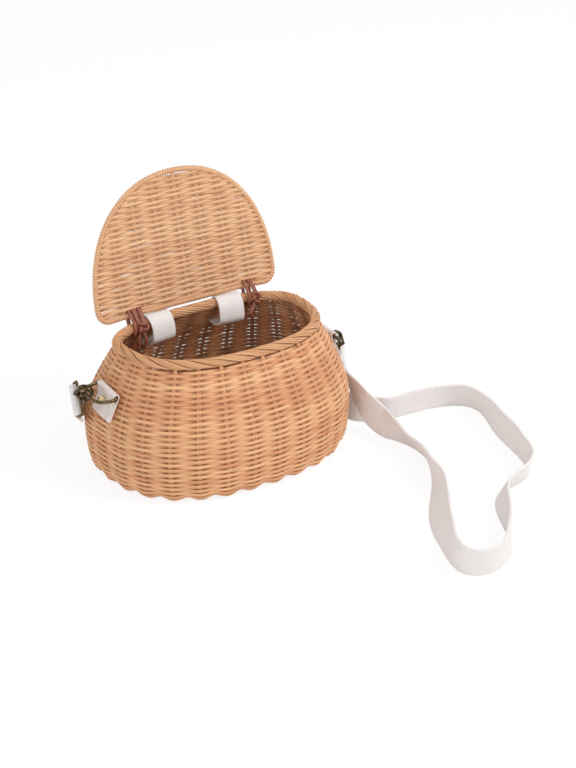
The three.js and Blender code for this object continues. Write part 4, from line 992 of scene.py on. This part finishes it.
# %% Say what each woven piece stands for
for piece in wall_weavers + [wall_stakes]:
    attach(piece, "bag")
    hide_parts("basket_wall")
for piece in (base_weavers, base_spokes):
    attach(piece, "bag")
    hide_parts("basket_base")
for piece in (rim_rods, rim_core):
    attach(piece, "bag")
    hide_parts("rim_border")
for name in ("left", "right"):
    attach(rear_loops[name], "bag")
    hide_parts(f"rear_loop_{name}")
    for piece in laces[name]:
        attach(piece, "bag")
        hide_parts(f"hinge_tie_{name}")
for piece, node, slot in ((lid_weavers, "lid_weave", "rattan"), (lid_rod, "lid_frame", "cane"),
                          (lid_binding, "lid_frame", "cane")):
    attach(piece, "lid")
    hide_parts(node)
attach(lid_ribs, "lid")
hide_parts(*[f"lid_rib_{i}" for i in range(1, 8)])

# %% [markdown]
# ## Materials
# The cane's colour changes from strand to strand and along each strand, it is painted darker deep in the
# weave as painted shade, and fine fibres run along it. Those three effects serve every woven piece, so they
# are one node group that takes the mesh's own attributes.

# %% Node helpers
def feed(tree, socket, value):
    """Links another node's socket to this one, or sets this one's value."""
    if isinstance(value, bpy.types.NodeSocket):
        tree.links.new(value, socket)
    else:
        socket.default_value = value


def fill(tree, node, **values):
    """Feeds a node's inputs, or sets its properties, by name."""
    for key, value in values.items():
        label = key.replace("_", " ").title()
        if label in node.inputs:
            feed(tree, node.inputs[label], value)
        else:
            setattr(node, key, value)


def put(tree, kind, **values):
    """Adds a node and fills it."""
    made = tree.nodes.new(kind)
    fill(tree, made, **values)
    return made


def new_finish(name):
    """A new material, with its node tree and its shader."""
    material = bpy.data.materials.new(name)
    material.use_nodes = True
    return material, material.node_tree, material.node_tree.nodes["Principled BSDF"]


def mixed(tree, share, first, second):
    """A colour between two, by a share from 0 to 1."""
    made = put(tree, "ShaderNodeMix", data_type="RGBA")
    for place, value in ((0, share), (6, first), (7, second)):
        feed(tree, made.inputs[place], value)
    return made.outputs[2]


def sums(tree, kind, first, second):
    made = put(tree, "ShaderNodeMath", operation=kind)
    feed(tree, made.inputs[0], first)
    feed(tree, made.inputs[1], second)
    return made.outputs[0]


def stretched(tree, value, low, high, out_low=0.0, out_high=1.0):
    made = tree.nodes.new("ShaderNodeMapRange")
    tree.links.new(value, made.inputs[0])
    for socket, number in zip(made.inputs[1:5], (low, high, out_low, out_high)):
        socket.default_value = number
    return made.outputs[0]


def linear(red, green, blue):
    """A colour as it looks on a screen, from 0 to 255, as Blender's own numbers."""
    return tuple(((c / 255 + 0.055) / 1.055) ** 2.4 if c > 10 else c / 3294
                 for c in (red, green, blue)) + (1.0,)


# %% The cane effect as a group
cane_group = bpy.data.node_groups.new("cane tone", "ShaderNodeTree")
for label, kind, way in (("Light", "NodeSocketColor", "INPUT"), ("Warm", "NodeSocketColor", "INPUT"),
                         ("Deep", "NodeSocketColor", "INPUT"), ("Tone", "NodeSocketFloat", "INPUT"),
                         ("Depth", "NodeSocketFloat", "INPUT"), ("Fibre", "NodeSocketVector", "INPUT"),
                         ("Color", "NodeSocketColor", "OUTPUT"), ("Roughness", "NodeSocketFloat", "OUTPUT"),
                         ("Height", "NodeSocketFloat", "OUTPUT")):
    cane_group.interface.new_socket(name=label, in_out=way, socket_type=kind)
inside, out = cane_group.nodes.new("NodeGroupInput"), cane_group.nodes.new("NodeGroupOutput")


def fibre_noise(scale, detail):
    """Noise that is drawn out along the fibres."""
    along = put(cane_group, "ShaderNodeMapping", vector=inside.outputs["Fibre"], scale=scale)
    return put(cane_group, "ShaderNodeTexNoise", vector=along.outputs[0], scale=1.0, detail=detail)


patches, streaks = fibre_noise((14, 0.25, 0.25), 3.0), fibre_noise((60, 2.2, 2.2), 4.0)
blend_share = sums(cane_group, "ADD", sums(cane_group, "MULTIPLY", inside.outputs["Tone"], 0.6),
                   stretched(cane_group, patches.outputs[0], 0.35, 0.65, -0.15, 0.55))
blend_share = stretched(cane_group, blend_share, 0.0, 1.0)
body_colour = mixed(cane_group, blend_share, inside.outputs["Light"], inside.outputs["Warm"])
streak_share = stretched(cane_group, streaks.outputs[0], 0.42, 0.75, 0.0, 0.3)
body_colour = mixed(cane_group, streak_share, body_colour, inside.outputs["Deep"])
# painted shade: the deeper a place lies in the weave, the more its colour is mixed towards the dark colour
painted_shade_share = stretched(cane_group, inside.outputs["Depth"], 0.55, 1.0, 0.0, 0.62)
body_colour = mixed(cane_group, painted_shade_share, body_colour, inside.outputs["Deep"])
cane_group.links.new(body_colour, out.inputs["Color"])
cane_group.links.new(stretched(cane_group, streaks.outputs[0], 0.3, 0.7, 0.42, 0.6), out.inputs["Roughness"])
cane_group.links.new(streaks.outputs[0], out.inputs["Height"])


# %% [markdown]
# Each finish is a Principled shader. Cane is smooth, hard and a little shiny. The lid is a shade paler than
# the basket, and the border a shade darker. The laces are waxed and red-brown, the webbing is matt with a
# fine cross weave, the tabs are smooth leather, and the metal is brass, bright on the studs and their
# washers, brown on the rings and eyes, and darkest on the hooks, whose darker brass is partly painted shade.

# %% Cane finishes
def cane_finish(name, light, warm, deep):
    material, tree, shader = new_finish(name)
    effect = tree.nodes.new("ShaderNodeGroup")
    effect.node_tree = cane_group
    for label, value in (("Light", light), ("Warm", warm), ("Deep", deep)):
        effect.inputs[label].default_value = value
    for label, attribute, output in (("Tone", "tone", "Fac"), ("Depth", "depth", "Fac"),
                                     ("Fibre", "fibre", "Vector")):
        source = put(tree, "ShaderNodeAttribute", attribute_name=attribute)
        tree.links.new(source.outputs[output], effect.inputs[label])
    bump = put(tree, "ShaderNodeBump", height=effect.outputs["Height"], strength=0.35, distance=0.15 * MM)
    fill(tree, shader, base_color=effect.outputs["Color"], roughness=effect.outputs["Roughness"],
         normal=bump.outputs[0])
    shader.inputs["Specular IOR Level"].default_value = 0.4
    return material


# the third colour serves both the fibres' dark streaks and the painted shade deep in the weave
basket_cane = cane_finish("basket cane", linear(238, 188, 139), linear(216, 151, 108), linear(92, 48, 22))
border_cane = cane_finish("border cane", linear(234, 184, 138), linear(210, 152, 108), linear(92, 50, 24))
lid_cane = cane_finish("lid cane", linear(236, 190, 146), linear(218, 164, 122), linear(110, 64, 34))
for piece in wall_weavers + [wall_stakes, base_weavers, base_spokes]:
    piece.data.materials.append(basket_cane)
for piece in (rim_rods, rim_core):
    piece.data.materials.append(border_cane)
for piece in (lid_weavers, lid_ribs, lid_rod, lid_binding):
    piece.data.materials.append(lid_cane)

# %% Lace finish
lace_finish, tree, shader = new_finish("waxed lace")
where = put(tree, "ShaderNodeTexCoord").outputs["Object"]
grain = put(tree, "ShaderNodeTexNoise", vector=where, scale=900, detail=5)
bump = put(tree, "ShaderNodeBump", height=grain.outputs[0], strength=0.5, distance=0.2 * MM)
fill(tree, shader, base_color=mixed(tree, grain.outputs[0], linear(120, 62, 46), linear(176, 108, 86)),
     roughness=stretched(tree, grain.outputs[0], 0.3, 0.7, 0.45, 0.7), normal=bump.outputs[0])
for pair in laces.values():
    for piece in pair:
        piece.data.materials.append(lace_finish)

# %% Webbing finish
webbing_finish, tree, shader = new_finish("cotton webbing")
place = put(tree, "ShaderNodeUVMap", uv_map="UVMap")
parts = put(tree, "ShaderNodeSeparateXYZ", vector=place.outputs[0])
picks = sums(tree, "SINE", sums(tree, "MULTIPLY", parts.outputs[0], 2 * math.pi / (1.1 * MM)), 0.0)
warps = sums(tree, "SINE", sums(tree, "MULTIPLY", parts.outputs[1], 2 * math.pi / (0.9 * MM)), 0.0)
cross = sums(tree, "MULTIPLY", picks, warps)
soft = put(tree, "ShaderNodeTexNoise", vector=place.outputs[0], scale=260, detail=4)
tint = mixed(tree, soft.outputs[0], linear(232, 224, 221), linear(246, 242, 240))
tint = mixed(tree, stretched(tree, cross, -1, 1, 0.14, 0.0), tint, linear(188, 176, 172))
relief = sums(tree, "ADD", cross, sums(tree, "MULTIPLY", soft.outputs[0], 0.8))
bump = put(tree, "ShaderNodeBump", height=relief, strength=0.35, distance=0.12 * MM)
fill(tree, shader, base_color=tint, roughness=0.9, sheen_weight=0.25, sheen_roughness=0.5,
     normal=bump.outputs[0])
for piece in [shoulder_strap, *rear_loops.values(), *strap_ends.values()]:
    piece.data.materials.append(webbing_finish)

# %% Leather finish
leather_finish, tree, shader = new_finish("tab leather")
where = put(tree, "ShaderNodeTexCoord").outputs["Object"]
pores = put(tree, "ShaderNodeTexVoronoi", vector=where, scale=1400)
creases = put(tree, "ShaderNodeTexNoise", vector=where, scale=150, detail=5)
worn = stretched(tree, creases.outputs[0], 0.35, 0.7)
relief = sums(tree, "ADD", pores.outputs[0], sums(tree, "MULTIPLY", creases.outputs[0], 2.0))
bump = put(tree, "ShaderNodeBump", height=relief, strength=0.4, distance=0.15 * MM)
fill(tree, shader, base_color=mixed(tree, worn, linear(240, 230, 226), linear(216, 202, 196)),
     roughness=stretched(tree, creases.outputs[0], 0.3, 0.7, 0.45, 0.65), normal=bump.outputs[0])
for piece in tabs.values():
    piece.data.materials.append(leather_finish)


# %% Metal finishes
def metal_finish(name, clean, tarnish, low, high):
    material, tree, shader = new_finish(name)
    where = put(tree, "ShaderNodeTexCoord").outputs["Object"]
    cloud = put(tree, "ShaderNodeTexNoise", vector=where, scale=420, detail=5)
    share = stretched(tree, cloud.outputs[0], 0.4, 0.65)
    fill(tree, shader, base_color=mixed(tree, share, clean, tarnish), metallic=1.0,
         roughness=stretched(tree, cloud.outputs[0], 0.3, 0.7, low, high))
    return material


bright_brass = metal_finish("bright brass", linear(226, 212, 170), linear(190, 168, 118), 0.18, 0.3)
brown_brass = metal_finish("brown brass", linear(122, 106, 76), linear(66, 54, 36), 0.28, 0.42)
# partly painted shade: the hooks, of the same antique brass as the rings, are coloured darker
dark_brass_and_painted_shade = metal_finish("dark brass and painted shade", linear(96, 82, 58), linear(34, 26, 18), 0.3, 0.45)
for pieces in metal.values():
    for piece, slot in pieces:
        cast = piece.name.startswith("hook")
        piece.data.materials.append(bright_brass if slot == "brass" else dark_brass_and_painted_shade if cast else brown_brass)

# %% [markdown]
# ## Floor and light
# The photograph is lit by a large soft light from the right and above, and the ground has washed out to
# white. A weaker lamp on the left fills the shadows. The floor here is a pale plane that keeps a soft
# shadow, and most of what the camera sees of it is light of its own, which washes it out. The world is
# white to the camera and to reflections, and only moderately bright as a light.

# %% Floor
FLOOR_WASH, WASH_STRENGTH = 0.8, 1.06
ground = bmesh.new()
bmesh.ops.create_grid(ground, x_segments=1, y_segments=1, size=4)
floor = added("floor", mesh_from("floor", ground))
paper, tree, pale = new_finish("floor paper")
fill(tree, pale, base_color=(0.93, 0.93, 0.93, 1), roughness=0.95)
pale.inputs["Specular IOR Level"].default_value = 0.0


def seen_directly(tree):
    """1 for rays that the camera, a reflection or a glass surface sends out, otherwise 0."""
    rays = tree.nodes.new("ShaderNodeLightPath")
    bent = sums(tree, "MAXIMUM", rays.outputs["Is Glossy Ray"], rays.outputs["Is Transmission Ray"])
    return sums(tree, "MAXIMUM", rays.outputs["Is Camera Ray"], bent)


washed_out = put(tree, "ShaderNodeEmission", strength=WASH_STRENGTH)
whiter = tree.nodes.new("ShaderNodeMixShader")
tree.links.new(sums(tree, "MULTIPLY", seen_directly(tree), FLOOR_WASH), whiter.inputs[0])
tree.links.new(pale.outputs[0], whiter.inputs[1])
tree.links.new(washed_out.outputs[0], whiter.inputs[2])
tree.links.new(whiter.outputs[0], tree.nodes["Material Output"].inputs["Surface"])
floor.data.materials.append(paper)

# %% World and lamps
world = bpy.data.worlds.new("studio")
bpy.context.scene.world = world
world.use_nodes = True
tree = world.node_tree
WORLD_LIGHT = 0.62
ground_light = tree.nodes["Background"]
fill(tree, ground_light, color=(1, 1, 1, 1), strength=WORLD_LIGHT)
seen = put(tree, "ShaderNodeBackground", color=(1, 1, 1, 1), strength=1.0)
choose = tree.nodes.new("ShaderNodeMixShader")
tree.links.new(seen_directly(tree), choose.inputs[0])
tree.links.new(ground_light.outputs[0], choose.inputs[1])
tree.links.new(seen.outputs[0], choose.inputs[2])
tree.links.new(choose.outputs[0], tree.nodes["World Output"].inputs["Surface"])


def soft_lamp(name, at, size, power):
    lamp = bpy.data.lights.new(name, "AREA")
    lamp.energy, lamp.size = power, size
    holder = added(name, lamp)
    holder.location = at
    holder.rotation_euler = (Vector((0.03, -0.02, 0.08)) - Vector(at)).to_track_quat("-Z", "Y").to_euler()


KEY_POWER, FILL_POWER = 18, 7
soft_lamp("key", (0.9, -1.1, 1.5), 0.9, KEY_POWER)
soft_lamp("fill", (-1.3, -1.0, 0.9), 1.2, FILL_POWER)
bpy.context.scene.view_settings.view_transform = "Standard"
